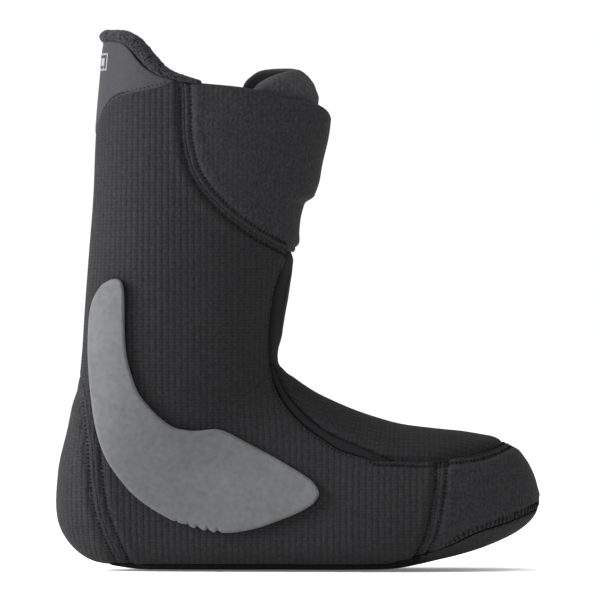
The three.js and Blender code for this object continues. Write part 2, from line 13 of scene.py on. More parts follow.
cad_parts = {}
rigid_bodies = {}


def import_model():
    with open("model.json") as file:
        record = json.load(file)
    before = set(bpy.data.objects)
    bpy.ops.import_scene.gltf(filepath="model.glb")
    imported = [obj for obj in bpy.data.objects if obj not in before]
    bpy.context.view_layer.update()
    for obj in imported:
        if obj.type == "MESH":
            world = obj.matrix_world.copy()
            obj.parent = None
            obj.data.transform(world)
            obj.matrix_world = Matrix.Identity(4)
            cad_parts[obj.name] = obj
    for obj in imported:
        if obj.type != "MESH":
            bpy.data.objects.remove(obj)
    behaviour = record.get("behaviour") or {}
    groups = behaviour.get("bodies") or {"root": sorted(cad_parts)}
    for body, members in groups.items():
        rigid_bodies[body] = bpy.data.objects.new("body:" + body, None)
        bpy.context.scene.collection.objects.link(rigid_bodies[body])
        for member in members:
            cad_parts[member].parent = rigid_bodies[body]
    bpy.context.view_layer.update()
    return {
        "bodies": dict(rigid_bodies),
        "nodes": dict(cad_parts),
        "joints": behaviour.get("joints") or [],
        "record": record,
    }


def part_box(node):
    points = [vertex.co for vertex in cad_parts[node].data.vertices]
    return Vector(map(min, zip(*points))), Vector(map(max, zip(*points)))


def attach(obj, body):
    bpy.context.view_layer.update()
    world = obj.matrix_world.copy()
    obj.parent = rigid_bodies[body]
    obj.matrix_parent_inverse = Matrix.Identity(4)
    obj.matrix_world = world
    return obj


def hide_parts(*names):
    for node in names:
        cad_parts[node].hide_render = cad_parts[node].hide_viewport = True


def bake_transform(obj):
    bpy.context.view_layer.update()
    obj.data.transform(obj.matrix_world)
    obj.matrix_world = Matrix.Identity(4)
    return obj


LOG = logging.getLogger("liner")
MM = 0.001
SMALLEST = 1.2  # least half width of an inset cross-section, in millimetres
FAR = 300.0  # how far a seam line runs on past its ends, in millimetres
TINY = 1e-9
NEAR_ZERO = 1e-6
GIRTH = 400.0  # about how far it is round the form, in millimetres
FEWEST_CELLS = 8
PATH_STEP = 0.6  # distance between the points of a seam path, in millimetres
Array = np.ndarray
Distance = Callable[[Array], Array]


class Side(Enum):
    """The two sides of a right-foot liner; the value is the sign of y."""

    LATERAL = -1
    MEDIAL = 1


BOTH_SIDES = (Side.LATERAL, Side.MEDIAL)


# Cross-sections fan out from the collar (level) round the heel to the toe (upright), in mm.
# Rear or bottom x, z; front or top x, z; lateral and medial half widths; sideways shift; place of
# the widest point between the two ends; roundness at each end.
SECTIONS = (
    (-114.5, 336, 22, 306, 50, 50, 0, 0.46, 2.2, 2.2),
    (-118, 300, 20, 281, 50, 50, 0, 0.46, 2.2, 2.2),
    (-121.2, 262, 17.2, 260, 50, 50, 0, 0.46, 2.2, 2.2),
    (-122.8, 224, 8.5, 226, 49.5, 49.5, 0, 0.46, 2.2, 2.2),
    (-125.4, 190, 0, 193, 48, 48, 0, 0.46, 2.2, 2.2),
    (-127.8, 158, -7.5, 160, 45, 45, 0, 0.46, 2.25, 2.2),
    (-129.6, 130, -11, 138, 43, 43, 0, 0.46, 2.3, 2.1),
    (-132, 110, -11.6, 128, 42, 42, 0, 0.46, 2.3, 2.1),
    (-138, 84, -11, 123, 41, 41, 0, 0.46, 2.3, 2.1),
    (-143.6, 58, -9, 120, 40, 40, 0, 0.45, 2.4, 2.1),
    (-143.2, 28, -6.5, 117.6, 39.5, 39.5, 0, 0.43, 2.4, 2.1),
    (-128, 8, -3, 115.2, 39.5, 39, 0, 0.4, 2.5, 2.1),
    (-100, 0.4, 3, 110.8, 40.5, 39, 0, 0.36, 2.7, 2.1),
    (-70, -1, 11, 105.8, 42.5, 39.5, 0, 0.33, 2.9, 2.1),
    (-35, -1, 20, 101.4, 45, 41, 0.2, 0.32, 3, 2.1),
    (0, -1, 32, 96.2, 48, 44, 0.3, 0.32, 3, 2.1),
    (30, -1, 46, 91.3, 51.5, 48.5, 0.5, 0.33, 3, 2.1),
    (58, 0.4, 62, 87, 52.5, 52, 0.8, 0.35, 3, 2.15),
    (85, 6.3, 82, 84.4, 51, 52.5, 1.4, 0.38, 2.9, 2.2),
    (105, 11.6, 100, 82.5, 46, 49.5, 2.6, 0.4, 2.7, 2.2),
    (121, 17.6, 115.5, 79.4, 39, 43.5, 4.2, 0.42, 2.5, 2.2),
    (132.5, 23.6, 127.5, 74.8, 31, 35.5, 5.4, 0.44, 2.3, 2.2),
    (140, 30, 136, 67, 22, 26, 6.3, 0.46, 2.2, 2.2),
    (143.8, 36.5, 141.4, 56.5, 12, 14, 6.8, 0.5, 2.1, 2.1),
    (144.6, 43, 144.2, 47.5, 2.5, 3, 7, 0.5, 2, 2),
)


def smoothstep(value: Array, low: float, high: float) -> Array:
    """Smooth share from 0 at low to 1 at high."""
    share = np.clip((value - low) / (high - low), 0, 1)
    return share * share * (3 - 2 * share)


def hump(value: Array, middle: float, width: float) -> Array:
    """A smooth hump of height 1 round the middle."""
    return np.exp(-(((value - middle) / width) ** 2))


def spline(rows: Array, share: Array) -> Array:
    """Points of the uniform Catmull-Rom curve through the padded rows.

    Args:
        rows: control rows, with one more at each end than the curve passes through.
        share: places along the curve, 0 to 1.

    Returns:
        One row for each place.
    """
    last = len(rows) - 3
    along = np.clip(share, 0, 1) * last
    first = np.minimum(along.astype(int), last - 1)
    t = (along - first)[:, None]
    a, b, c, d = (rows[first + k] for k in range(4))
    square, cube = 2 * a - 5 * b + 4 * c - d, 3 * b - a - 3 * c + d
    return 0.5 * (2 * b + (c - a) * t + square * t**2 + cube * t**3)


def corner_round(distance: Array, radius: float) -> Array:
    """How far a rounded edge of that radius has dropped at a distance from it."""
    inside = np.clip(distance, 0, radius)
    return radius - np.sqrt(np.maximum(radius**2 - (radius - inside) ** 2, 0))


def running_length(points: Array) -> Array:
    """Length along a path up to each of its points."""
    return np.concatenate([[0], np.cumsum(np.linalg.norm(np.diff(points, axis=0), axis=1))])


def resample(places: Array, run: Array, rows: Array) -> Array:
    """The rows read off at those lengths along their path."""
    return np.stack([np.interp(places, run, rows[:, k]) for k in range(rows.shape[1])], axis=1)


def unit_rows(rows: Array) -> Array:
    """Each row scaled to length one."""
    return rows / np.maximum(np.linalg.norm(rows, axis=1), TINY)[:, None]


def outward_normal(du: Array, dv: Array, inward: Array) -> Array:
    """Unit normals across two surface directions, on the side away from inward."""
    normal = unit_rows(np.cross(du, dv))
    return normal * np.where(np.sum(normal * inward, axis=1) > 0, -1.0, 1.0)[:, None]


@dataclass
class Line:
    """A smooth line on the side view (x, z), in millimetres; its left side counts as positive.

    Args:
        rows: places that the line passes through.
        closed: whether it is an outline whose inside is positive.
        sharp: whether the corners are kept.
    """

    rows: tuple[tuple[float, float], ...]
    closed: bool = False
    sharp: bool = False
    points: Array = field(init=False)

    def __post_init__(self) -> None:
        rows = np.array(self.rows, float)
        if not self.sharp:
            padded = np.vstack([rows[0], rows, rows[-1]])
            rows = spline(padded, np.linspace(0, 1, 8 * (len(rows) - 1) + 1))
        if self.closed:
            rows = np.vstack([rows, rows[0]])
            area = np.sum(rows[:-1, 0] * rows[1:, 1] - rows[1:, 0] * rows[:-1, 1])
            rows = rows if area > 0 else rows[::-1]
        else:
            head, tail = rows[0] - rows[1], rows[-1] - rows[-2]
            rows = np.vstack([rows[0] + head / np.linalg.norm(head) * FAR, rows,
                              rows[-1] + tail / np.linalg.norm(tail) * FAR])
        self.points = rows

    def distance(self, spots: Array) -> Array:
        """Signed distance of each (x, y, z) spot from the line, seen from the side.

        Args:
            spots: (n, 3) places in the liner's frame.

        Returns:
            Distances in millimetres, positive on the left of the line.
        """
        flat = spots[:, (0, 2)]
        best = np.full(len(flat), 1e9)
        signed = np.zeros(len(flat))
        for start, end in zip(self.points[:-1], self.points[1:]):
            along = end - start
            length = np.linalg.norm(along)
            if length < TINY:
                continue
            unit = along / length
            off = flat - start
            run = np.clip(off @ unit, 0, length)
            gap = off - run[:, None] * unit
            size = np.linalg.norm(gap, axis=1)
            cross = unit[0] * off[:, 1] - unit[1] * off[:, 0]
            nearer = size < best - 1e-7
            tied = (np.abs(size - best) <= 1e-7) & (np.abs(cross) > np.abs(signed))
            signed = np.where(nearer | tied, cross, signed)
            best = np.where(nearer, size, best)
        return np.where(signed < 0, -best, best)

    def inner(self) -> Array:
        """The line's own points, without its far ends."""
        return self.points[:-1] if self.closed else self.points[1:-1]


class BodyForm:
    """The liner's outer form: cross-sections that fan round the heel, with even spacing over it."""

    def __init__(self) -> None:
        lip_low, lip_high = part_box("collar_lip")
        toe_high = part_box("toe_cap")[1]
        rows = np.array(SECTIONS, float)
        self.rows = np.vstack([2 * rows[0] - rows[1], rows, 2 * rows[-1] - rows[-2]])
        middle_y = (lip_low.y + lip_high.y) / 2
        self.shift = np.array([toe_high.x / MM - rows[-1, 0], middle_y / MM, 0.0])
        self._even_tables()

    def rings(self, s: Array, inset: Array | float = 0.0) -> dict[str, Array]:
        """The cross-sections at s, drawn in by the inset.

        Args:
            s: which cross-section, 0 at the collar and 1 at the toe.
            inset: how far in from the form.

        Returns:
            Ends, half widths, sideways shift, widest place and powers, by name.
        """
        c = spline(self.rows, s)
        low, high = c[:, 0:2].copy(), c[:, 2:4].copy()
        along = high - low
        length = np.linalg.norm(along, axis=1)
        along /= length[:, None]
        drawn = np.minimum(inset, (length - SMALLEST) / 2)[:, None]
        toe = -(inset * smoothstep(high[:, 0], 60, 144.6))
        low += along * drawn
        high -= along * drawn
        low[:, 0] += toe
        high[:, 0] += toe
        return {
            "low": low, "high": high,
            "lateral": np.maximum(c[:, 4] - inset, SMALLEST),
            "medial": np.maximum(c[:, 5] - inset, SMALLEST),
            "shift": c[:, 6], "widest": c[:, 7], "rear": 2 / c[:, 8], "front": 2 / c[:, 9],
        }

    def surface(self, turn: Array, s: Array, inset: Array | float = 0.0) -> Array:
        """Points at a turn round each cross-section (0 at the rear or sole, 0.5 at the front or top).

        Args:
            turn: share of the way round, lateral side first; it may run past 0 and 1.
            s: 0 at the collar, 1 at the toe; past 1 the points close in on the tip.
            inset: how far in from the outer form, in millimetres.

        Returns:
            (n, 3) points in the row frame, in millimetres.
        """
        ring = self.rings(s, inset)
        part = np.mod(turn, 1.0)
        lateral = part <= 0.5
        angle = 2 * math.pi * np.where(lateral, part, 1 - part)
        cosine = np.cos(angle)
        power = np.where(cosine > 0, ring["rear"], ring["front"])
        reach = np.abs(cosine) ** power
        widest = ring["widest"]
        up = np.where(cosine > 0, widest * (1 - reach), widest + (1 - widest) * reach)
        out = np.clip(np.sin(angle), 0, None) ** power
        y = ring["shift"] + np.where(lateral, -ring["lateral"], ring["medial"]) * out
        flat = ring["low"] + (ring["high"] - ring["low"]) * up[:, None]
        middle = (ring["low"] + ring["high"]) / 2
        closing = np.clip(1 - (s - 1) / 0.02, 0, 1)
        flat = middle + (flat - middle) * closing[:, None]
        y = ring["shift"] + (y - ring["shift"]) * closing
        x = flat[:, 0] + 0.5 * (1 - closing**2) * (s > 1)
        floor = np.maximum(inset, 0.0)
        above = flat[:, 1] - floor
        z = floor + 0.5 * (above + np.sqrt(above**2 + 0.36)) - 0.02
        return np.stack([x, y, np.maximum(z, 0.02)], axis=1) + self.shift

    def _even_tables(self) -> None:
        """Tables that turn even shares of the surface into turn and s."""
        s = np.linspace(0, 1, 481)
        ring = self.rings(s)
        step = (np.linalg.norm(np.diff(ring["low"], axis=0), axis=1)
                + np.linalg.norm(np.diff(ring["high"], axis=0), axis=1)) / 2
        self.spine = np.concatenate([[0], np.cumsum(step)])
        self.s_grid = s
        self.rows_s = np.linspace(0, 1, 121)
        turns = np.linspace(0, 0.5, 241)
        self.shares = np.linspace(0, 0.5, 121)
        self.turn_table = {}
        self.arc_table = {}
        for side in Side:
            table, arcs = [], []
            for row in self.rows_s:
                real = turns if side is Side.LATERAL else 1 - turns
                points = self.surface(real, np.full(len(turns), row))
                arc = running_length(points)
                table.append(np.interp(self.shares * 2, arc / arc[-1], turns))
                arcs.append(arc[-1])
            self.turn_table[side] = np.array(table)
            self.arc_table[side] = np.array(arcs)

    def s_at(self, v: Array) -> Array:
        """s at an even share along the middle of the fan; past 1 it runs on to the tip's closing."""
        inside = np.interp(np.clip(v, 0, 1) * self.spine[-1], self.spine, self.s_grid)
        return inside + np.clip(v - 1, 0, None)

    def turn_at(self, u: Array, s: Array) -> Array:
        """The turn at an even share u round the cross-section at s.

        Args:
            u: share of the length round it, lateral side first.
            s: which cross-section, 0 at the collar and 1 at the toe.

        Returns:
            One turn for each place.
        """
        part = np.mod(u, 1.0)
        whole = u - part
        lateral = part <= 0.5
        share = np.where(lateral, part, 1 - part)
        row = np.clip(s, 0, 1) * (len(self.rows_s) - 1)
        column = share * 2 * (len(self.shares) - 1)
        i = np.minimum(row.astype(int), len(self.rows_s) - 2)
        j = np.minimum(column.astype(int), len(self.shares) - 2)
        f, g = row - i, column - j
        turn = np.zeros(len(u))
        for side, mask in ((Side.LATERAL, lateral), (Side.MEDIAL, ~lateral)):
            t = self.turn_table[side]
            value = ((t[i, j] * (1 - g) + t[i, j + 1] * g) * (1 - f)
                     + (t[i + 1, j] * (1 - g) + t[i + 1, j + 1] * g) * f)
            turn = np.where(mask, value if side is Side.LATERAL else 1 - value, turn)
        return whole + turn

    def even(self, uv: Array, inset: Array | float = 0.0) -> Array:
        """Surface points at even shares (u round, v along)."""
        s = self.s_at(uv[:, 1])
        return self.surface(self.turn_at(uv[:, 0], s), s, inset)

    def arc(self, uv: Array) -> Array:
        """Length round the cross-section from the rear, in millimetres, signed by side.

        Args:
            uv: (n, 2) even shares.

        Returns:
            Positive on the lateral side.
        """
        s = self.s_at(uv[:, 1])
        part = np.mod(uv[:, 0] + 0.5, 1.0) - 0.5
        side = {k: np.interp(s, self.rows_s, self.arc_table[k]) for k in Side}
        return np.where(part >= 0, part * 2 * side[Side.LATERAL], part * 2 * side[Side.MEDIAL])

    def locate(self, flat: Array, side: Side, inset: float = 0.0) -> tuple[Array, Array, Array]:
        """Finds side-view places on the form.

        Args:
            flat: (n, 2) places x, z.
            side: which side of the liner.
            inset: how far in from the outer form.

        Returns:
            turn, s, and whether the place lies inside the silhouette.
        """
        spot = flat - self.shift[[0, 2]]
        low_s, high_s = np.zeros(len(spot)), np.ones(len(spot))
        for _ in range(32):
            middle = (low_s + high_s) / 2
            ring = self.rings(middle, inset)
            along = ring["high"] - ring["low"]
            off = spot - ring["low"]
            before = along[:, 0] * off[:, 1] - along[:, 1] * off[:, 0] < 0
            low_s = np.where(before, middle, low_s)
            high_s = np.where(before, high_s, middle)
        ring = self.rings(low_s, inset)
        along = ring["high"] - ring["low"]
        length = np.linalg.norm(along, axis=1)
        up = np.sum((spot - ring["low"]) * along, axis=1) / length**2
        widest = ring["widest"]
        rear = up < widest
        power = np.where(rear, ring["rear"], ring["front"])
        reach = np.where(rear, 1 - up / widest, (up - widest) / (1 - widest))
        valid = (up >= 0) & (up <= 1)
        cosine = np.clip(reach, 0, 1) ** (1 / power) * np.where(rear, 1, -1)
        angle = np.arccos(np.clip(cosine, -1, 1))
        turn = angle / (2 * math.pi)
        return (turn if side is Side.LATERAL else 1 - turn), low_s, valid

    def depth(self, flat: Array, side: Side, inset: float = 0.0) -> tuple[Array, Array]:
        """The surface's y at side-view places, and whether each lies inside the silhouette."""
        turn, s, valid = self.locate(flat, side, inset)
        return self.surface(turn, s, inset)[:, 1], valid


class UprightWeave:
    """Lengths over one side of the form, along x and z, so that a weave stays upright on it."""

    STEP = 1.5

    def __init__(self, form: BodyForm, side: Side) -> None:
        self.x = np.arange(-150, 150.1, self.STEP)
        self.z = np.arange(-2, 334.1, self.STEP)
        gx, gz = np.meshgrid(self.x, self.z, indexing="ij")
        depth, valid = form.depth(np.stack([gx.ravel(), gz.ravel()], 1), side)
        self.y = depth.reshape(gx.shape)
        self.valid = valid.reshape(gx.shape)
        self.across = self._lengths(0, -60.0, self.x)
        self.up = self._lengths(1, 45.0, self.z)

    def _lengths(self, axis: int, start: float, places: Array) -> Array:
        """Running length along one axis, from the start place.

        Args:
            axis: 0 for x, 1 for z.
            start: place where the length is its own place.
            places: the grid's places on that axis.

        Returns:
            Lengths on the whole grid.
        """
        both = self.valid & np.roll(self.valid, 1, axis)
        step = np.where(both, np.hypot(self.STEP, self.y - np.roll(self.y, 1, axis)), self.STEP)
        total = np.cumsum(step, axis)
        index = int(np.argmin(np.abs(places - start)))
        return total - np.take(total, [index], axis) + places[index]

    def _read(self, table: Array, valid: Array, y: Array, along: Array, other: Array, depth: Array,
              places: Array, others: Array, start: float) -> Array:
        """Length at each point: the table at the nearest node towards the start, and on from it.

        Args:
            table: running lengths on the grid.
            valid: which nodes lie on the form.
            y: the form's depth at the nodes.
            along: each point's place on the axis measured.
            other: its place on the other axis.
            depth: its y.
            places: the grid's places on the axis measured.
            others: the same for the other axis.
            start: place that the lengths start from.

        Returns:
            One length for each point.
        """
        sign = np.where(along > start, 1, -1)
        exact = (along - places[0]) / self.STEP
        whole = np.where(sign > 0, np.floor(exact), np.ceil(exact)).astype(int)
        i = np.clip(whole, 0, len(places) - 1)
        f = np.clip((other - others[0]) / self.STEP, 0, len(others) - 1.001)
        result = np.zeros(len(along))
        centre = int(round((start - places[0]) / self.STEP))
        high = np.argmin(valid[centre:, :], axis=0) + centre - 1
        high = np.where(valid[centre:, :].all(axis=0), len(places) - 1, high)
        low = centre - (np.argmin(valid[centre::-1, :], axis=0) - 1)
        for j, weight in ((f.astype(int), 1 - (f % 1)), (f.astype(int) + 1, f % 1)):
            k = np.where(valid[centre, j], np.clip(i, low[j], high[j]), i)
            result += weight * (table[k, j] + sign * np.hypot(along - places[k], depth - y[k, j]))
        return result

    def uv(self, points: Array) -> Array:
        """Texture coordinates in millimetres for points on this side.

        Args:
            points: places on the form, in millimetres.

        Returns:
            (n, 2) lengths across and up.
        """
        x, y, z = points.T
        u = self._read(self.across, self.valid, self.y, x, z, y, self.x, self.z, -60.0)
        v = self._read(self.up.T, self.valid.T, self.y.T, z, x, y, self.z, self.x, 45.0)
        return np.stack([u, np.where(z > 110, z, v)], axis=1)


class RingChart:
    """Lays a panel out over the form in even shares round and along it."""

    def __init__(self, form: BodyForm, u: tuple[float, float], v: tuple[float, float]) -> None:
        self.form, self.u, self.v = form, u, v
        self.eps = 6e-4

    def counts(self, spacing: float) -> tuple[int, int]:
        """How many cells fit each way at that spacing."""
        return (max(FEWEST_CELLS, round((self.u[1] - self.u[0]) * GIRTH / spacing)),
                max(FEWEST_CELLS, round((self.v[1] - self.v[0]) * self.form.spine[-1] / spacing)))

    def spread(self, unit: Array) -> Array:
        """Unit grid places as chart places."""
        return np.stack([self.u[0] + unit[:, 0] * (self.u[1] - self.u[0]),
                         self.v[0] + unit[:, 1] * (self.v[1] - self.v[0])], axis=1)

    def points(self, place: Array, inset: Array | float = 0.0) -> Array:
        """Surface points at chart places."""
        return self.form.even(place, inset)

    def sunk(self, place: Array, base: Array, normal: Array, depth: Array) -> Array:
        """Points that far in from the surface."""
        return base - normal * depth[:, None]


class SideChart:
    """Lays a piece out over one side of the form by its side view."""

    def __init__(self, form: BodyForm, side: Side, low: tuple[float, float],
                 high: tuple[float, float]) -> None:
        self.form, self.side = form, side
        self.low, self.high = np.array(low), np.array(high)
        self.eps = 0.2

    def counts(self, spacing: float) -> tuple[int, int]:
        """How many cells fit each way at that spacing."""
        return tuple(int(round(n)) for n in (self.high - self.low) / spacing)

    def spread(self, unit: Array) -> Array:
        """Unit grid places as side-view places."""
        return self.low + unit * (self.high - self.low)

    def points(self, place: Array, inset: Array | float = 0.0) -> Array:
        """Surface points at side-view places.

        Args:
            place: side-view places.
            inset: how far in from the form.

        Returns:
            (n, 3) points.
        """
        turn, s, _ = self.form.locate(place, self.side, inset)
        spot = self.form.surface(turn, s, inset)
        return np.stack([place[:, 0], spot[:, 1], place[:, 1]], axis=1)

    def sunk(self, place: Array, base: Array, normal: Array, depth: Array) -> Array:
        """Points that far in from the surface, kept at their place on the side view."""
        return self.points(place, depth)


Chart = RingChart | SideChart


def frame_at(chart: Chart, place: Array) -> tuple[Array, Array, Array, Array]:
    """Point, the two surface directions and the outward normal at chart places.

    Args:
        chart: how the sheet is laid out.
        place: chart places.

    Returns:
        Point, direction, direction and normal for each place.
    """
    e = chart.eps
    here = chart.points(place)
    du = (chart.points(place + [e, 0]) - chart.points(place - [e, 0])) / (2 * e)
    dv = (chart.points(place + [0, e]) - chart.points(place - [0, e])) / (2 * e)
    return here, du, dv, outward_normal(du, dv, chart.points(place, 1.0) - here)


def read_whole(rows: bpy.types.bpy_prop_collection, name: str) -> Array:
    """A whole-number property of every element.

    Args:
        rows: the elements.
        name: the property's name.

    Returns:
        One whole number for each element.
    """
    values = np.zeros(len(rows), np.int32)
    rows.foreach_get(name, values)
    return values


@dataclass
class Sheet:
    """One sewn or moulded sheet laid over the form, closed and with real thickness.

    Args:
        name: the piece's name.
        chart: how the sheet is laid out.
        keep: distances in from each edge; the sheet is where all are positive.
        outer: how far in from the form its face lies, by point and distance to the nearest edge.
        inner: the same for its back.
        uv: texture coordinates in millimetres.
        materials: finishes; the first is the face's and the last is the back's and the sides'.
        spacing: size of one cell.
        pick: index of the finish at each face point, if there is more than one.
    """

    name: str
    chart: Chart
    keep: Distance
    outer: Callable[[Array, Array], Array]
    inner: Callable[[Array, Array], Array]
    uv: Callable[[Array, Array], Array]
    materials: tuple[bpy.types.Material, ...]
    spacing: float = 1.3
    pick: Callable[[Array, Array], Array] | None = None

    def build(self) -> bpy.types.Object:
        """Makes the closed mesh and its object.

        Returns:
            The sheet's object.
        """
        bm = bmesh.new()
        nx, ny = self.chart.counts(self.spacing)
        bmesh.ops.create_grid(bm, x_segments=nx, y_segments=ny, size=0.5)
        unit = np.array([v.co[:2] for v in bm.verts]) + 0.5
        place = self.chart.spread(unit)
        inside = self.keep(self.chart.points(place)) > 0
        count = np.zeros(len(bm.faces))
        ids = bm.verts.layers.int.new("id")
        for index, vert in enumerate(bm.verts):
            vert[ids] = index
        bm.verts.index_update()
        for index, face in enumerate(bm.faces):
            count[index] = sum(inside[v.index] for v in face.verts)
        bm.faces.ensure_lookup_table()
        bmesh.ops.delete(bm, geom=[f for f, n in zip(bm.faces, count) if n < 3], context="FACES")
        self._trim_ears(bm)
        border = np.array(sorted({v[ids] for e in bm.edges if e.is_boundary for v in e.verts}))
        place = self._snap(place, border)
        place = self._relax(bm, ids, place, border)
        grown = bmesh.ops.extrude_face_region(bm, geom=bm.faces[:], use_keep_orig=True)
        for vert in grown["geom"]:
            if isinstance(vert, bmesh.types.BMVert):
                vert[ids] = -1 - vert[ids]
        mesh = bpy.data.meshes.new(self.name)
        bm.to_mesh(mesh)
        bm.free()
        return self._place(mesh, place)

    @staticmethod
    def _trim_ears(bm: bmesh.types.BMesh) -> None:
        """Drops cells that hang on by one edge or a corner.

        Args:
            bm: the sheet's open cells.
        """
        for _ in range(3):
            ears = [f for f in bm.faces if sum(e.is_boundary for e in f.edges) >= 3]
            if not ears:
                break
            bmesh.ops.delete(bm, geom=ears, context="FACES")
        loose = [v for v in bm.verts if not v.link_faces]
        bmesh.ops.delete(bm, geom=loose, context="VERTS")

    def _snap(self, place: Array, border: Array) -> Array:
        """Moves the border places on to the edge, straight across it.

        Args:
            place: chart places.
            border: indices of the places on the edge.

        Returns:
            All the places, with the border ones moved.
        """
        place = place.copy()
        e = self.chart.eps
        for _ in range(5):
            here = place[border]
            value = self.keep(self.chart.points(here))
            gradient = []
            for step in ([e, 0], [0, e]):
                ahead, behind = self.chart.points(here + step), self.chart.points(here - step)
                size = np.linalg.norm(ahead - behind, axis=1)
                rise = self.keep(ahead) - self.keep(behind)
                gradient.append((rise / np.maximum(size, NEAR_ZERO), size / (2 * e)))
            (gu, su), (gv, sv) = gradient
            norm = np.maximum(gu**2 + gv**2, 0.02)
            limit = 3 * self.spacing
            du = np.clip(-value * gu / norm, -limit, limit) / np.maximum(su, NEAR_ZERO)
            dv = np.clip(-value * gv / norm, -limit, limit) / np.maximum(sv, NEAR_ZERO)
            moving = np.abs(value) < 8 * self.spacing
            place[border, 0] += np.where(moving, du, 0)
            place[border, 1] += np.where(moving, dv, 0)
        return place

    @staticmethod
    def _relax(bm: bmesh.types.BMesh, ids: bmesh.types.BMLayerItem, place: Array,
               border: Array) -> Array:
        """Evens out the cells next to the border.

        Args:
            bm: the sheet's open cells.
            ids: the layer that numbers the corners.
            place: chart places.
            border: indices of the places on the edge.

        Returns:
            All the places, with those near the border moved.
        """
        near, ring = set(border.tolist()), set(border.tolist())
        verts = {v[ids]: v for v in bm.verts}
        for _ in range(3):
            ring = {e.other_vert(verts[i])[ids] for i in ring for e in verts[i].link_edges} - near
            near |= ring
        loose = list(near - set(border.tolist()))
        links = {i: [e.other_vert(verts[i])[ids] for e in verts[i].link_edges] for i in loose}
        place = place.copy()
        for _ in range(4):
            moved = {i: place[links[i]].mean(axis=0) for i in loose}
            for i, spot in moved.items():
                place[i] = spot
        return place

    def _place(self, mesh: bpy.types.Mesh, place: Array) -> bpy.types.Object:
        """Moves the face and back to their depths, then sets texture coordinates and finishes.

        Args:
            mesh: the closed mesh, still flat.
            place: chart place of each numbered corner.

        Returns:
            The sheet's object.
        """
        count = len(mesh.vertices)
        ids = read_whole(mesh.attributes["id"].data, "value")
        second = ids < 0
        ids = np.where(second, -1 - ids, ids)
        first = np.unique(ids)
        lookup = np.zeros(len(place), int)
        lookup[first] = np.arange(len(first))
        used = place[first]
        base, du, dv, normal = frame_at(self.chart, used)
        edge = self._edge_distance(used, base, du, dv)
        outer = self.chart.sunk(used, base, normal, self.outer(base, edge))
        inner = self.chart.sunk(used, base, normal, self.inner(base, edge))
        co = np.zeros((count, 3))
        rank = lookup[ids]
        co[~second] = outer[rank[~second]]
        co[second] = inner[rank[second]]
        co[:, 2] = np.maximum(co[:, 2], 0.0)
        mesh.vertices.foreach_set("co", (co * MM).ravel())
        mesh.attributes.remove(mesh.attributes["id"])
        loops = read_whole(mesh.loops, "vertex_index")
        layer = mesh.uv_layers.new(name="weave")
        flat = self.uv(used, base)
        layer.data.foreach_set("uv", flat[rank[loops]].astype(np.float32).ravel())
        starts = read_whole(mesh.polygons, "loop_start")
        sizes = read_whole(mesh.polygons, "loop_total")
        lead = loops[starts]
        back = np.array([second[loops[a:a + n]].any() for a, n in zip(starts, sizes)])
        index = np.zeros(len(starts), np.int32)
        if self.pick is not None:
            index = np.round(self.pick(base, edge)[rank[lead]]).astype(np.int32)
        index[back] = len(self.materials) - 1
        for material in self.materials:
            mesh.materials.append(material)
        mesh.polygons.foreach_set("material_index", index)
        mesh.polygons.foreach_set("use_smooth", np.ones(len(starts), bool))
        mesh.update()
        self._outward(mesh)
        return place_piece(mesh)

    def _edge_distance(self, place: Array, base: Array, du: Array, dv: Array) -> Array:
        """Distance over the surface from the nearest edge.

        Args:
            place: chart places.
            base: the form's points at those places.
            du: surface direction along the first chart axis.
            dv: surface direction along the second.

        Returns:
            Distances in millimetres.
        """
        e = self.chart.eps
        value = self.keep(base)
        gu, gv = ((self.keep(self.chart.points(place + step)) - self.keep(self.chart.points(place - step)))
                  / (2 * e) for step in ([e, 0], [0, e]))
        slope = np.hypot(gu / np.maximum(np.linalg.norm(du, axis=1), NEAR_ZERO),
                         gv / np.maximum(np.linalg.norm(dv, axis=1), NEAR_ZERO))
        return np.maximum(value, 0) / np.clip(slope, 0.15, 1.5)

    @staticmethod
    def _outward(mesh: bpy.types.Mesh) -> None:
        """Turns the faces outward.

        Args:
            mesh: the closed mesh.
        """
        bm = bmesh.new()
        bm.from_mesh(mesh)
        bmesh.ops.recalc_face_normals(bm, faces=bm.faces[:])
        if bm.calc_volume(signed=True) < 0:
            bmesh.ops.reverse_faces(bm, faces=bm.faces[:])
        bm.to_mesh(mesh)
        bm.free()


# ---- Seams and edges on the side view ------------------------------------------------------
TOE_SEAM = Line(((86, 110), (85, 60), (83, 42), (79, 22), (74, 11), (68, -12)))
VAMP_ROWS = ((38.5, 69), (47, 66.2), (60, 65.6), (77, 65), (94, 67), (114, 70.6), (140, 82))
THROAT_ROWS = ((-1, 204), (-6.6, 186), (-12, 171), (-15, 156), (-16.4, 138), (-15.9, 124), (-13, 111),
               (-7, 99.6), (3, 88.5), (16, 79), (26, 72.8), (38.5, 69))
OPENING = Line(THROAT_ROWS + VAMP_ROWS[1:])
THROAT = Line(THROAT_ROWS)
VAMP_SEAM = Line(VAMP_ROWS)
GUSSET_RIDGE = Line(((-16, 124.4), (-12, 118), (-6, 106), (4.8, 94), (15.4, 85.4), (27, 79.4), (41, 73.6),
                     (58, 66)))
HEEL_SEAM = Line(((-142, 123), (-131, 116), (-126.4, 102), (-122.8, 77), (-120.6, 54), (-118.4, 38),
                  (-112.6, 21), (-104, 2), (-100, -12)))
CUFF_SEAM = Line(((-70, 330), (-67.6, 286), (-66.4, 257), (-60.6, 236), (-47.7, 219.3), (-33, 206.8),
                  (-16, 196.3), (0, 189.6), (30, 184)))
PATCH_EDGE = Line(((-60, 297), (-73.7, 291), (-86, 287), (-99, 284.2), (-109.5, 280.4), (-116.5, 271.8),
                   (-121, 262), (-132, 240)))
STROBEL = Line(((-170, 3.2), (-60, 3.2), (45, 3.4), (60, 5.6), (74, 9.2), (84, 12.4), (93, 15.9), (107, 22.6),
                (123, 27.6), (134, 31.8), (144, 35.7), (170, 46)))
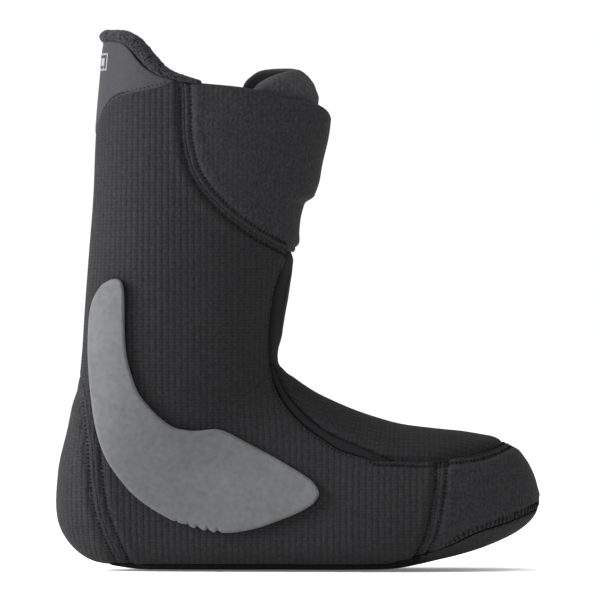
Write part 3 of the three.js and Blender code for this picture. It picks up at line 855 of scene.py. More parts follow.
CUFF_TOP = Line(((-76, 291.8), (-58, 290.6), (-33, 288.2), (-20, 285.6), (-8, 282.2), (4, 280.2),
                 (12.5, 278.6), (17.2, 276.0), (19.8, 271.5), (24, 262)))
LIP_UNDER = Line(((-50, 289), (-62, 290), (-74, 292.4), (-82, 294.6), (-90, 299), (-95.6, 304.4), (-99, 309),
                  (-103, 313.4), (-108, 315.8), (-120, 316.6)))
TONGUE_NEAR = Line(((16, 262), (13.4, 279), (12.4, 285), (9.5, 291.9), (2.4, 298), (-3.6, 298.3),
                    (-13.4, 294.9), (-22.3, 288.9), (-29, 278), (-30, 262), (-24, 232), (-15, 205),
                    (-13, 180)))
TONGUE_FAR = Line(((20, 262), (14, 278), (12.6, 286), (8, 294.6), (0, 299.9), (-9, 301), (-19, 300.2),
                   (-25.5, 297), (-31, 291.5), (-33, 280), (-32, 262), (-24, 226), (-15, 205), (-13, 180)))
# How far each row of a twin-stitched seam lies from the seam.
TWIN = 3.1
HEEL_TWIN = 4.0
VAMP_TWIN = 2.2


def twin_relief(gap: Array, row: float) -> Array:
    """How far a twin-stitched seam pulls the fabric in (positive) or lets it rise, by distance.

    Args:
        gap: distance from the seam.
        row: how far each row of stitches lies from it.

    Returns:
        Depths in millimetres.
    """
    ridge = -0.3 * hump(gap, 0.0, 1.3)
    valley = 1.3 * hump(gap, row, 1.45)
    swell = -0.5 * hump(gap, row + 4.5, 3.0)
    return ridge + valley + swell


@dataclass(frozen=True)
class Finish:
    """One procedural finish.

    Args:
        name: material name.
        color: base colour.
        roughness: how matte it is.
        sheen: weight of the soft fabric sheen.
        cell: size of the embossed cells across and up, in millimetres; 0 for none.
        emboss: depth of the cells.
        grain: size of the fine grain, in millimetres.
        grain_depth: depth of the grain.
        mottle: how much the colour varies, 0 to 1.
        mottle_size: size of the mottling, in millimetres.
        rib: whether the cells run together into ribs.
        specular: strength of the shine.
        contrast: how hard the mottling's light and dark parts are set apart.
        cell_contrast: how dark the painted shade in the lines between the cells is.
        fleck: how strongly the fine flecks show.
        glow: light given off.
    """

    name: str
    color: tuple[float, float, float]
    roughness: float = 0.85
    sheen: float = 0.0
    cell: tuple[float, float] = (0.0, 0.0)
    emboss: float = 0.0
    grain: float = 0.5
    grain_depth: float = 0.05
    mottle: float = 0.15
    mottle_size: float = 6.0
    rib: bool = False
    specular: float = 0.08
    contrast: float = 1.0
    cell_contrast: float = 0.38
    fleck: float = 0.5
    glow: float = 0.0

    def make(self) -> bpy.types.Material:
        """Builds the node material.

        Returns:
            The material.
        """
        material = bpy.data.materials.new(self.name)
        material.use_nodes = True
        fill_material(material.node_tree, self)
        return material


def fill_material(tree: bpy.types.NodeTree, finish: Finish) -> None:
    """Wires a finish's colour, cells, grain and bump.

    Args:
        tree: the material's nodes.
        finish: what to wire.
    """
    nodes, links = tree.nodes, tree.links
    shader = nodes["Principled BSDF"]
    shader.inputs["Roughness"].default_value = finish.roughness
    shader.inputs["Specular IOR Level"].default_value = finish.specular
    shader.inputs["Sheen Weight"].default_value = finish.sheen
    shader.inputs["Sheen Roughness"].default_value = 0.5
    shader.inputs["Emission Color"].default_value = (1, 1, 1, 1)
    shader.inputs["Emission Strength"].default_value = finish.glow
    coordinates = nodes.new("ShaderNodeTexCoord")

    def math_node(kind: str, *values: object) -> bpy.types.NodeSocket:
        """One sum on sockets or plain numbers.

        Args:
            kind: the sum.
            values: its inputs.

        Returns:
            The result.
        """
        node = nodes.new("ShaderNodeMath")
        node.operation = kind
        for slot, value in zip(node.inputs, values):
            if isinstance(value, bpy.types.NodeSocket):
                links.new(value, slot)
            else:
                slot.default_value = value
        return node.outputs[0]

    def noise(size: float, detail: float = 3.0) -> bpy.types.NodeSocket:
        """Noise in object space; the size is in millimetres.

        Args:
            size: size of the noise.
            detail: how many finer layers it has.

        Returns:
            A value near 0.5 everywhere.
        """
        node = nodes.new("ShaderNodeTexNoise")
        node.inputs["Scale"].default_value = 1 / (size * MM)
        node.inputs["Detail"].default_value = detail
        links.new(coordinates.outputs["Object"], node.inputs["Vector"])
        return node.outputs["Fac"]

    grain = noise(finish.grain)
    height = math_node("MULTIPLY", grain, finish.grain_depth)
    spread = math_node("MULTIPLY_ADD", noise(finish.mottle_size, 4.0), finish.contrast,
                       0.5 - finish.contrast / 2)
    spread.node.use_clamp = True
    shade = math_node("MULTIPLY_ADD", spread, finish.mottle * 2, 1 - finish.mottle)
    if finish.cell[0] > 0:
        split = nodes.new("ShaderNodeSeparateXYZ")
        links.new(coordinates.outputs["UV"], split.inputs[0])
        parts = []
        wander = math_node("MULTIPLY", noise(5.0, 2.0), 0.9)
        for axis, size in zip(("X", "Y"), finish.cell):
            turns = math_node("MULTIPLY", split.outputs[axis], math.pi / size)
            lobe = math_node("ABSOLUTE", math_node("SINE", math_node("ADD", turns, wander)))
            parts.append(math_node("POWER", lobe, 0.75))
        across = 0.5 if finish.rib else 0.7
        parts[1] = math_node("MULTIPLY_ADD", parts[1], across, 1 - across)
        cell = math_node("MULTIPLY", *parts)
        height = math_node("ADD", height, math_node("MULTIPLY", cell, finish.emboss))
        # Painted shade: the colour darkens in the hollows between the raised cells and lightens a little on
        # their tops.
        dark = math_node("MULTIPLY_ADD", cell, finish.cell_contrast, 1 - finish.cell_contrast * 0.75)
        shade = math_node("MULTIPLY", shade, dark)
    flecks = noise(finish.grain * 3.2, 2.0)
    height = math_node("ADD", height, math_node("MULTIPLY", flecks, finish.fleck * 0.22))
    fine = math_node("MULTIPLY_ADD", flecks, finish.fleck, 1 - finish.fleck / 2)
    shade = math_node("MULTIPLY", shade, fine)
    colour = nodes.new("ShaderNodeVectorMath")
    colour.operation = "SCALE"
    colour.inputs[0].default_value = finish.color
    links.new(shade, colour.inputs["Scale"])
    links.new(colour.outputs[0], shader.inputs["Base Color"])
    bump = nodes.new("ShaderNodeBump")
    bump.inputs["Distance"].default_value = MM
    bump.inputs["Strength"].default_value = 1.0
    links.new(height, bump.inputs["Height"])
    links.new(bump.outputs[0], shader.inputs["Normal"])


@dataclass(frozen=True)
class Palette:
    """Every finish on the liner."""

    embossed: Finish = Finish("embossed_fabric", (0.0128, 0.0128, 0.0138), 0.8, cell=(3.8, 1.9),
                              emboss=0.45, fleck=1.2)
    # Painted light: the heel panel's fabric is the embossed fabric painted lighter, standing in for the key
    # light falling on the rear.
    heel: Finish = Finish("heel_fabric", (0.0168, 0.0168, 0.0179), 0.8, cell=(3.8, 1.9),
                          emboss=0.45, fleck=1.3)
    cuff: Finish = Finish("cuff_fabric", (0.0158, 0.0158, 0.0170), 0.8, cell=(2.9, 3.4),
                          emboss=0.14, cell_contrast=0.16, fleck=1.7)
    ribbed: Finish = Finish("ribbed_fabric", (0.0108, 0.0108, 0.0117), cell=(3.5, 3.5), emboss=0.5,
                            rib=True, fleck=1.0)
    smooth: Finish = Finish("smooth_fabric", (0.0068, 0.0068, 0.0075), 0.9, grain=0.35,
                            grain_depth=0.08)
    # The tongue's top panel: its softer weave is its own; its colour, about three times as light as the
    # ribbed fabric's, is painted light from above.
    tongue_top: Finish = Finish("top_lit_tongue_fabric", (0.033, 0.033, 0.035), 0.8, cell=(3.5, 3.5),
                                emboss=0.15, rib=True, cell_contrast=0.15, fleck=1.4)
    fleece: Finish = Finish("fleece", (0.0120, 0.0120, 0.0136), 0.95, 0.06, grain=0.8,
                            grain_depth=0.9, mottle=1.0, mottle_size=1.5, contrast=3.2)
    inner_fleece: Finish = Finish("inner_fleece", (0.0100, 0.0100, 0.0115), 0.95, 0.1, grain=0.8,
                                  grain_depth=0.4, mottle=0.4, mottle_size=2.0)
    foam: Finish = Finish("grey_foam", (0.075, 0.076, 0.0795), 0.66, grain=1.1, grain_depth=0.07,
                          mottle=0.16, mottle_size=16)
    patch: Finish = Finish("grey_patch", (0.0228, 0.0222, 0.0253), 0.65, mottle=0.08)
    pad: Finish = Finish("white_foam", (0.56, 0.56, 0.53), grain=1.0, grain_depth=0.3)
    board: Finish = Finish("board", (0.26, 0.21, 0.14), 0.8, grain=0.6, grain_depth=0.1)
    plastic: Finish = Finish("plastic", (0.02, 0.02, 0.022), 0.6, grain=2.0, grain_depth=0.03)
    hook: Finish = Finish("hook_tape", (0.011, 0.011, 0.012), 0.9, cell=(1.2, 1.2), emboss=0.5,
                          grain=0.4, grain_depth=0.3)
    label: Finish = Finish("label", (0.16, 0.16, 0.165), 0.7, grain=0.3)
    sole: Finish = Finish("sole_fabric", (0.0036, 0.0036, 0.0042), cell=(1.4, 1.4), emboss=0.2)
    thread: Finish = Finish("thread", (0.012, 0.012, 0.0135), 0.7, 0.05, grain=0.25, grain_depth=0.1)
    # Painted shade: the seams' thread is painted far darker than the plain thread, standing in for the shade
    # in the stitch holes and seam valleys.
    dark_thread: Finish = Finish("dark_thread", (0.0035, 0.0035, 0.0040), 0.8, grain=0.25,
                                 grain_depth=0.1)


# ---- Shared bench --------------------------------------------------------------------------
class Bench:
    """What every sub-assembly shares: the form, its weaves and the made finishes."""

    def __init__(self) -> None:
        self.form = BodyForm()
        self.weave = {side: UprightWeave(self.form, side) for side in Side}
        palette = Palette()
        self.finish = {name: getattr(palette, name).make() for name in palette.__dataclass_fields__}

    def both(self, name: str) -> tuple[bpy.types.Material, bpy.types.Material]:
        """One finish for the face and the back."""
        return (self.finish[name],) * 2

    def upright_uv(self, place: Array, points: Array) -> Array:
        """Weave that stands upright on both sides."""
        lateral, medial = (self.weave[side].uv(points) for side in BOTH_SIDES)
        return np.where(points[:, 1:2] < 0, lateral, medial)

    def round_uv(self, place: Array, points: Array) -> Array:
        """Weave that runs round and along the form."""
        return np.stack([self.form.arc(place), place[:, 1] * self.form.spine[-1]], axis=1)

    def front_uv(self, place: Array, points: Array) -> Array:
        """Weave measured from the front's middle line."""
        turned = place - [0.5, 0]
        return np.stack([self.form.arc(turned), place[:, 1] * self.form.spine[-1]], axis=1)

    def keep(self, piece: bpy.types.Object, slot: str, *nodes: str, body: str | None = "liner",
             fill: float | None = None) -> bpy.types.Object:
        """Hides the CAD nodes a finished piece stands for, hangs it on its body and logs it.

        Args:
            piece: the finished piece.
            slot: its material slot; not used.
            nodes: the CAD nodes it stands for.
            body: the body it rides on, or none for a blended piece.
            fill: how much padding it holds, if it is padded; not used.

        Returns:
            The same piece.
        """
        if nodes:
            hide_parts(*nodes)
        if body is not None:
            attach(piece, body)
        LOG.info("made %s with %d faces", piece.name, len(piece.data.polygons))
        return piece


def side_sign(side: Side) -> float:
    """The sign of y on that side."""
    return float(side.value)


def level(depth: float) -> Callable[[Array, Array], Array]:
    """A face or back that lies at one depth all over."""
    return lambda points, edge: np.full(len(points), depth)


def place_piece(data: bpy.types.ID) -> bpy.types.Object:
    """Puts a mesh, lamp or camera in the scene as an object of the same name.

    Args:
        data: the mesh, lamp or camera.

    Returns:
        The object.
    """
    piece = bpy.data.objects.new(data.name, data)
    bpy.context.scene.collection.objects.link(piece)
    return piece


def take_mesh(bm: bmesh.types.BMesh, name: str, *materials: bpy.types.Material) -> bpy.types.Mesh:
    """Turns finished geometry into a smooth mesh with its finishes.

    Args:
        bm: the geometry, which is freed.
        name: the mesh's name.
        materials: its finishes.

    Returns:
        The mesh.
    """
    mesh = bpy.data.meshes.new(name)
    bm.to_mesh(mesh)
    bm.free()
    for material in materials:
        mesh.materials.append(material)
    for polygon in mesh.polygons:
        polygon.use_smooth = True
    return mesh


@dataclass
class SeamPath:
    """A path over the form for a row of stitches.

    Args:
        form: the form it lies on.
        line: the seam on the side view.
        offset: how far to the line's left the row runs.
        lift: height above the form.
        sides: the sides it runs over; two sides join at the rear or the front.
        low, high: opposite corners of the part of the side view where the row runs.
    """

    form: BodyForm
    line: Line
    offset: float = 0.0
    lift: float = 0.0
    sides: tuple[Side, ...] = (Side.LATERAL,)
    low: tuple[float, float] = (-200.0, -5.0)
    high: tuple[float, float] = (200.0, 400.0)

    def one_side(self, side: Side) -> tuple[Array, Array]:
        """Positions and normals on one side, in the line's own order.

        Args:
            side: which side of the liner.

        Returns:
            (n, 3) positions and (n, 3) normals.
        """
        rows = self.line.inner()
        run = running_length(rows)
        flat = resample(np.arange(0, run[-1], PATH_STEP), run, rows) + self.form.shift[[0, 2]]
        within = np.all((flat > self.low) & (flat < self.high), axis=1)
        turn, s, valid = self.form.locate(flat, side)
        mask = valid & within
        turn, s = turn[mask], s[mask]
        e = 5e-4
        spot = self.form.surface
        base = spot(turn, s)
        target = base
        along = unit_rows(np.gradient(base, axis=0))
        for step in range(4):
            here = spot(turn, s)
            du = (spot(turn + e, s) - spot(turn - e, s)) / (2 * e)
            dv = (spot(turn, np.clip(s + e, 0, 1)) - spot(turn, np.clip(s - e, 0, 1))) / (2 * e)
            normal = outward_normal(du, dv, spot(turn, s, 1.0) - here)
            if step == 0:
                out = np.cross(normal, along)
                flip = np.where(out[:, 2] * along[:, 0] - out[:, 0] * along[:, 2] > 0, 1.0, -1.0)
                target = base + out * (flip * self.offset)[:, None]
            need = target - here
            a, b, c = np.sum(du * du, 1), np.sum(du * dv, 1), np.sum(dv * dv, 1)
            p, q = np.sum(du * need, 1), np.sum(dv * need, 1)
            det = np.maximum(a * c - b * b, NEAR_ZERO)
            turn = turn + np.clip((c * p - b * q) / det, -0.05, 0.05)
            s = np.clip(s + np.clip((a * q - b * p) / det, -0.02, 0.02), 0, 1)
        return spot(turn, s) + normal * self.lift, normal

    def all(self) -> tuple[Array, Array]:
        """Positions and normals over every side it runs on.

        Returns:
            (n, 3) positions and (n, 3) normals.
        """
        if len(self.sides) == 1:
            return self.one_side(self.sides[0])
        parts = [self.one_side(side) for side in self.sides]
        (a, n), (b, m) = parts
        if np.linalg.norm(a[-1] - b[-1]) < np.linalg.norm(a[0] - b[0]):
            b, m = b[::-1], m[::-1]
            return np.vstack([a, b]), np.vstack([n, m])
        return np.vstack([a[::-1], b]), np.vstack([n[::-1], m])


@dataclass
class StitchRow:
    """A run of thread stitches along a path.

    Args:
        name: piece name.
        paths: positions and normals of each row.
        pitch: distance from stitch to stitch.
        length: how much of the pitch shows as thread.
        width: thread width.
        turned: angle of each stitch to the path, in degrees.
        tallest: most that the thread's width counts towards its height.
        flatness: height of the thread as a share of its width.
        seed: seed of the stitches' small differences.
        drift: how far a stitch strays along the path.
        lean: how far it leans, in degrees.
        scale: smallest and largest share of the full size.
    """

    name: str
    paths: list[tuple[Array, Array]]
    pitch: float = 2.5
    length: float = 1.1
    width: float = 1.9
    turned: float = 0.0
    tallest: float = 1.2
    flatness: float = 0.8
    seed: int = 5
    drift: float = 0.25
    lean: float = 16.0
    scale: tuple[float, float] = (0.75, 1.15)

    def build(self, material: bpy.types.Material) -> bpy.types.Object:
        """Lays one small rounded stitch at each step.

        Args:
            material: the thread's finish.

        Returns:
            All the stitches as one object.
        """
        seed = bmesh.new()
        bmesh.ops.create_uvsphere(seed, u_segments=6, v_segments=4, radius=0.5)
        seed_mesh = bpy.data.meshes.new(self.name + "_seed")
        seed.to_mesh(seed_mesh)
        seed.free()
        bm = bmesh.new()
        rng = np.random.default_rng(self.seed)
        least = (-self.drift, -self.lean, self.scale[0])
        most = (self.drift, self.lean, self.scale[1])
        for points, normals in self.paths:
            run = running_length(points)
            for even in np.arange(self.pitch / 2, run[-1], self.pitch):
                drift, lean, scale = rng.uniform(least, most)
                places = even + drift + np.array([0.0, 0.5, -0.5])
                spot, ahead, behind = (Vector(row) for row in resample(places, run, points))
                up = Vector(resample(places[:1], run, normals)[0]).normalized()
                along = ahead - behind
                if along.length < NEAR_ZERO:
                    continue
                along = (along - up * along.dot(up)).normalized()
                along = Matrix.Rotation(math.radians(self.turned + lean), 3, up) @ along
                across = up.cross(along)
                high = min(self.width, self.tallest) * self.flatness
                basis = Matrix((along * self.length * scale, across * self.width * scale,
                                up * high)).transposed()
                bm.from_mesh(seed_mesh)
                bm.verts.ensure_lookup_table()
                place = Matrix.Translation(spot * MM) @ basis.to_4x4() @ Matrix.Diagonal((MM, MM, MM, 1))
                bmesh.ops.transform(bm, matrix=place, verts=bm.verts[-len(seed_mesh.vertices):])
        bmesh.ops.recalc_face_normals(bm, faces=bm.faces[:])
        bpy.data.meshes.remove(seed_mesh)
        return place_piece(take_mesh(bm, self.name, material))


def shifted(line: Line, form: BodyForm) -> Callable[[Array], Array]:
    """The line's signed distance, for points in the row frame."""
    return lambda points: line.distance(points - form.shift)


@dataclass
class Uppers:
    """The main side panels, heel panel and toe cap.

    Args:
        thickness: thickness of the panels.
        gap: distance from a panel's edge to the seam line.
        seam_round: radius of the panels' edges.
        seams: stitched seams, each with its offset, lift and side-view corners.
    """

    thickness: float = 7.0
    gap: float = 0.02
    seam_round: float = 0.3
    seams: tuple[tuple[Line, float, float, tuple[float, float], tuple[float, float]], ...] = (
        (TOE_SEAM, -TWIN, -0.3, (-200, 4.5), (200, 64.5)),
        (TOE_SEAM, TWIN, -0.3, (-200, 4.5), (200, 64.5)),
        (THROAT, -2.7, -0.55, (-200, 70), (200, 188)),
        (VAMP_SEAM, -VAMP_TWIN, -0.4, (42, 0), (127, 90)),
        (VAMP_SEAM, VAMP_TWIN, -0.4, (42, 0), (127, 90)),
        (HEEL_SEAM, -HEEL_TWIN, -0.3, (-200, 5), (200, 106)),
        (HEEL_SEAM, HEEL_TWIN, -0.3, (-200, 5), (200, 106)))

    def build(self, bench: Bench) -> None:
        """Makes each panel.

        Args:
            bench: what every sub-assembly shares.
        """
        form = bench.form
        toe, heel, cuff = (shifted(x, form) for x in (TOE_SEAM, HEEL_SEAM, CUFF_SEAM))
        opening, strobel, under = (shifted(x, form) for x in (OPENING, STROBEL, LIP_UNDER))
        counter = shifted(Line(((-175, 84), (-128, 84), (-106, 76), (-88, 56), (-78, 34), (-74, 12),
                                (-175, 12)), closed=True, sharp=True), form)
        pads = shifted(AnklePads().outline(), form)

        def inner(points: Array, edge: Array) -> Array:
            """Panels thin out over the parts sewn in behind them."""
            over = np.maximum(smoothstep(counter(points), -1.5, 0.5), smoothstep(pads(points), -1.5, 0.5))
            return self.thickness - over * 3.4

        def rounded(points: Array, edge: Array) -> Array:
            """Face depth near seams, the throat and the sole.

            Args:
                points: places on the form, in millimetres.
                edge: distance of each from the nearest edge.

            Returns:
                Depths in from the form.
            """
            depth = corner_round(edge, self.seam_round)
            depth += twin_relief(np.abs(cuff(points)), TWIN)
            depth += twin_relief(np.abs(heel(points)), HEEL_TWIN) * (1 - smoothstep(points[:, 2], 98, 112))
            depth += twin_relief(np.abs(toe(points)), TWIN) * (opening(points) < 3)
            throat = np.abs(opening(points))
            ahead = smoothstep(points[:, 0], 38, 52)
            depth += corner_round(throat, 2.6) * (1 - ahead)
            depth += 0.55 * hump(throat, 2.6, 0.9) * (1 - ahead)
            depth += twin_relief(throat, VAMP_TWIN) * ahead
            sole = np.abs(strobel(points))
            toe_share = smoothstep(points[:, 0], 70, 90)
            depth += corner_round(sole, 2.0) + 0.5 * hump(sole, 4.2, 0.9) * toe_share
            return depth - 0.5 * np.clip(edge / 22, 0, 1)

        def quarter(side: Side) -> Distance:
            """Inside of the side panel.

            Args:
                side: which side of the liner.

            Returns:
                The panel's signed distance.
            """
            def keep(points: Array) -> Array:
                """Distance in from the nearest edge.

                Args:
                    points: places on the form, in millimetres.

                Returns:
                    Positive inside the panel.
                """
                own_side = side_sign(side) * (points[:, 1] - form.shift[1])
                return np.minimum.reduce([
                    -opening(points), -cuff(points), -toe(points), heel(points), strobel(points),
                    under(points), own_side + 40 * (points[:, 0] > -60),
                ]) - self.gap
            return keep

        uv = bench.upright_uv
        u_range = {Side.LATERAL: (-0.02, 0.5), Side.MEDIAL: (0.5, 1.02)}
        for side in Side:
            name = side.name.lower()
            panel = Sheet(f"quarter_{name}_fabric", RingChart(form, u_range[side], (0, 0.9)), quarter(side),
                          rounded, inner, uv, bench.both("embossed"))
            bench.keep(panel.build(), "embossed_fabric", f"quarter_{name}", fill=0.7)
        # The heel panel gets the embossed fabric painted lighter: painted light on the rear.
        heel_panel = Sheet("heel_cup_fabric", RingChart(form, (-0.35, 0.35), (0.28, 0.72)),
                           lambda p: np.minimum(-heel(p), strobel(p)) - self.gap, rounded, inner, uv,
                           bench.both("heel"))
        bench.keep(heel_panel.build(), "embossed_fabric", "heel_cup", fill=0.8)
        toe_panel = Sheet("toe_cap_fabric", RingChart(form, (-0.5, 0.5), (0.7, 1.02)),
                          lambda p: np.minimum.reduce([toe(p), -opening(p), strobel(p)]) - self.gap, rounded,
                          level(self.thickness), uv, bench.both("cuff"))
        bench.keep(toe_panel.build(), "embossed_fabric", "toe_cap", fill=0.8)

    def dress(self, bench: Bench) -> None:
        """Sews the seams.

        Args:
            bench: what every sub-assembly shares.
        """
        form = bench.form
        rows = []
        for side in Side:
            one = (side,)
            rows += [SeamPath(form, line, offset, lift, one, low, high).all()
                     for line, offset, lift, low, high in self.seams]
        thread = StitchRow("upper_stitches", rows).build(bench.finish["dark_thread"])
        bench.keep(thread, "embossed_fabric")
        edge = [SeamPath(form, STROBEL, 3.4, 0.0, BOTH_SIDES, (84, 0)).all()]
        whip = StitchRow("toe_whip_stitches", edge, 3.1, 6.4, 1.2, 90.0).build(bench.finish["dark_thread"])
        bench.keep(whip, "embossed_fabric")
        dots = [SeamPath(form, STROBEL, -3.2, 0.1, BOTH_SIDES, (78, 0)).all()]
        lower = StitchRow("sole_edge_stitches", dots, 2.6, 1.5, 0.8).build(bench.finish["thread"])
        bench.keep(lower, "sole_fabric")


@dataclass
class Cuff:
    """The cuff panels and their flaps at the sides; the flaps are built closed, without a bend.

    Args:
        thickness: thickness of the panels away from the seam.
        front_y: how far past the middle the lateral flap reaches.
        hinge: middle of the line that the flap bends about, on the medial side; not used.
        across_hinge: from that line to where the flap moves fully; not used.
    """

    thickness: float = 5.3
    front_y: float = 14.0
    hinge: tuple[float, float, float] = (-21.8, 42.5, 199.0)
    across_hinge: tuple[float, float, float] = (9.8, 0.0, 1.96)

    def build(self, bench: Bench) -> None:
        """Makes each cuff side as one panel.

        Args:
            bench: what every sub-assembly shares.
        """
        form = bench.form
        cuff, top = shifted(CUFF_SEAM, form), shifted(CUFF_TOP, form)
        for side in Side:
            name = side.name.lower()
            lateral = side is Side.LATERAL
            edge_y = self.front_y + form.shift[1]

            def keep(points: Array, lateral: bool = lateral) -> Array:
                """Distance in from the nearest edge of one cuff side.

                Args:
                    points: places on the form, in millimetres.
                    lateral: whether this is the lateral side.

                Returns:
                    Positive inside the panel.
                """
                x, y, z = points.T
                low = smoothstep(-z, -237, -220)
                if lateral:
                    front = edge_y - 12.5 * low - y
                else:
                    front = y - edge_y - 1.0 + 12.5 * low
                front = np.where(x < -35, 30.0, front)
                return np.minimum.reduce([cuff(points) - 0.02, -top(points), front])

            def outer(points: Array, edge: Array) -> Array:
                """Rolled front and top edges, twin seam behind.

                Args:
                    points: places on the form, in millimetres.
                    edge: distance of each from the nearest edge.

                Returns:
                    Depths in from the form.
                """
                seam = np.abs(cuff(points))
                at_tip = 0.5 + 2.2 * smoothstep(points[:, 0], -12, 2)
                own = np.where(seam < edge + 1.0, corner_round(seam, 0.5) * at_tip * 2,
                               corner_round(edge, 2.6))
                z, ahead = points[:, 2], smoothstep(points[:, 0], -12, 4)
                step = (0.7 + 3.2 * smoothstep(z, 188, 214)) * (1 - smoothstep(z, 218.5, 224.5)) * ahead
                swell = 0.8 + 1.3 * hump(z, 231, 9)
                tuck = 2.4 * (1 - smoothstep(z, 187.5, 195)) * ahead
                crown = 0.6 * np.clip(edge / 14, 0, 1)
                return own + twin_relief(seam, TWIN) - crown + step + tuck - swell * ahead

            def inner(points: Array, edge: Array) -> Array:
                """The back, rolled at the free edges and thicker at the seam.

                Args:
                    points: places on the form, in millimetres.
                    edge: distance of each from the nearest edge.

                Returns:
                    Depths in from the form.
                """
                seam = np.abs(cuff(points))
                free = np.where(seam < edge + 1.0, 0.0, corner_round(edge, 2.4))
                return self.thickness - free + 1.6 * (1 - smoothstep(seam, 4, 16))

            span = (0.08, 0.64) if lateral else (0.36, 0.92)
            panel = Sheet(f"cuff_{name}_fabric", RingChart(form, span, (0.0, 0.36)), keep, outer, inner,
                          bench.upright_uv, (bench.finish["cuff"], bench.finish["inner_fleece"]))
            piece = panel.build()
            self.bend(piece, side, form)
            bench.keep(piece, "embossed_fabric", f"cuff_front_{name}", f"cuff_flap_{name}", body=None,
                       fill=0.6)

    def bend(self, piece: bpy.types.Object, side: Side, form: BodyForm) -> None:
        """Bakes the piece's placing into its mesh; nothing bends.

        Args:
            piece: the panel or its stitches.
            side: which side of the liner; not used.
            form: the outer form; not used.
        """
        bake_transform(piece)

    def dress(self, bench: Bench) -> None:
        """Sews the curved twin seam on each side.

        Args:
            bench: what every sub-assembly shares.
        """
        for side in Side:
            for place, offset in (("quarter_edge", -TWIN), ("cuff_edge", TWIN)):
                rows = [SeamPath(bench.form, CUFF_SEAM, offset, -0.35, (side,), (-200, 190), (-7, 289)).all()]
                name = f"{place}_{side.name.lower()}_stitches"
                thread = StitchRow(name, rows).build(bench.finish["dark_thread"])
                if offset > 0:
                    self.bend(thread, side, bench.form)
                bench.keep(thread, "embossed_fabric", body=None if offset > 0 else "liner")


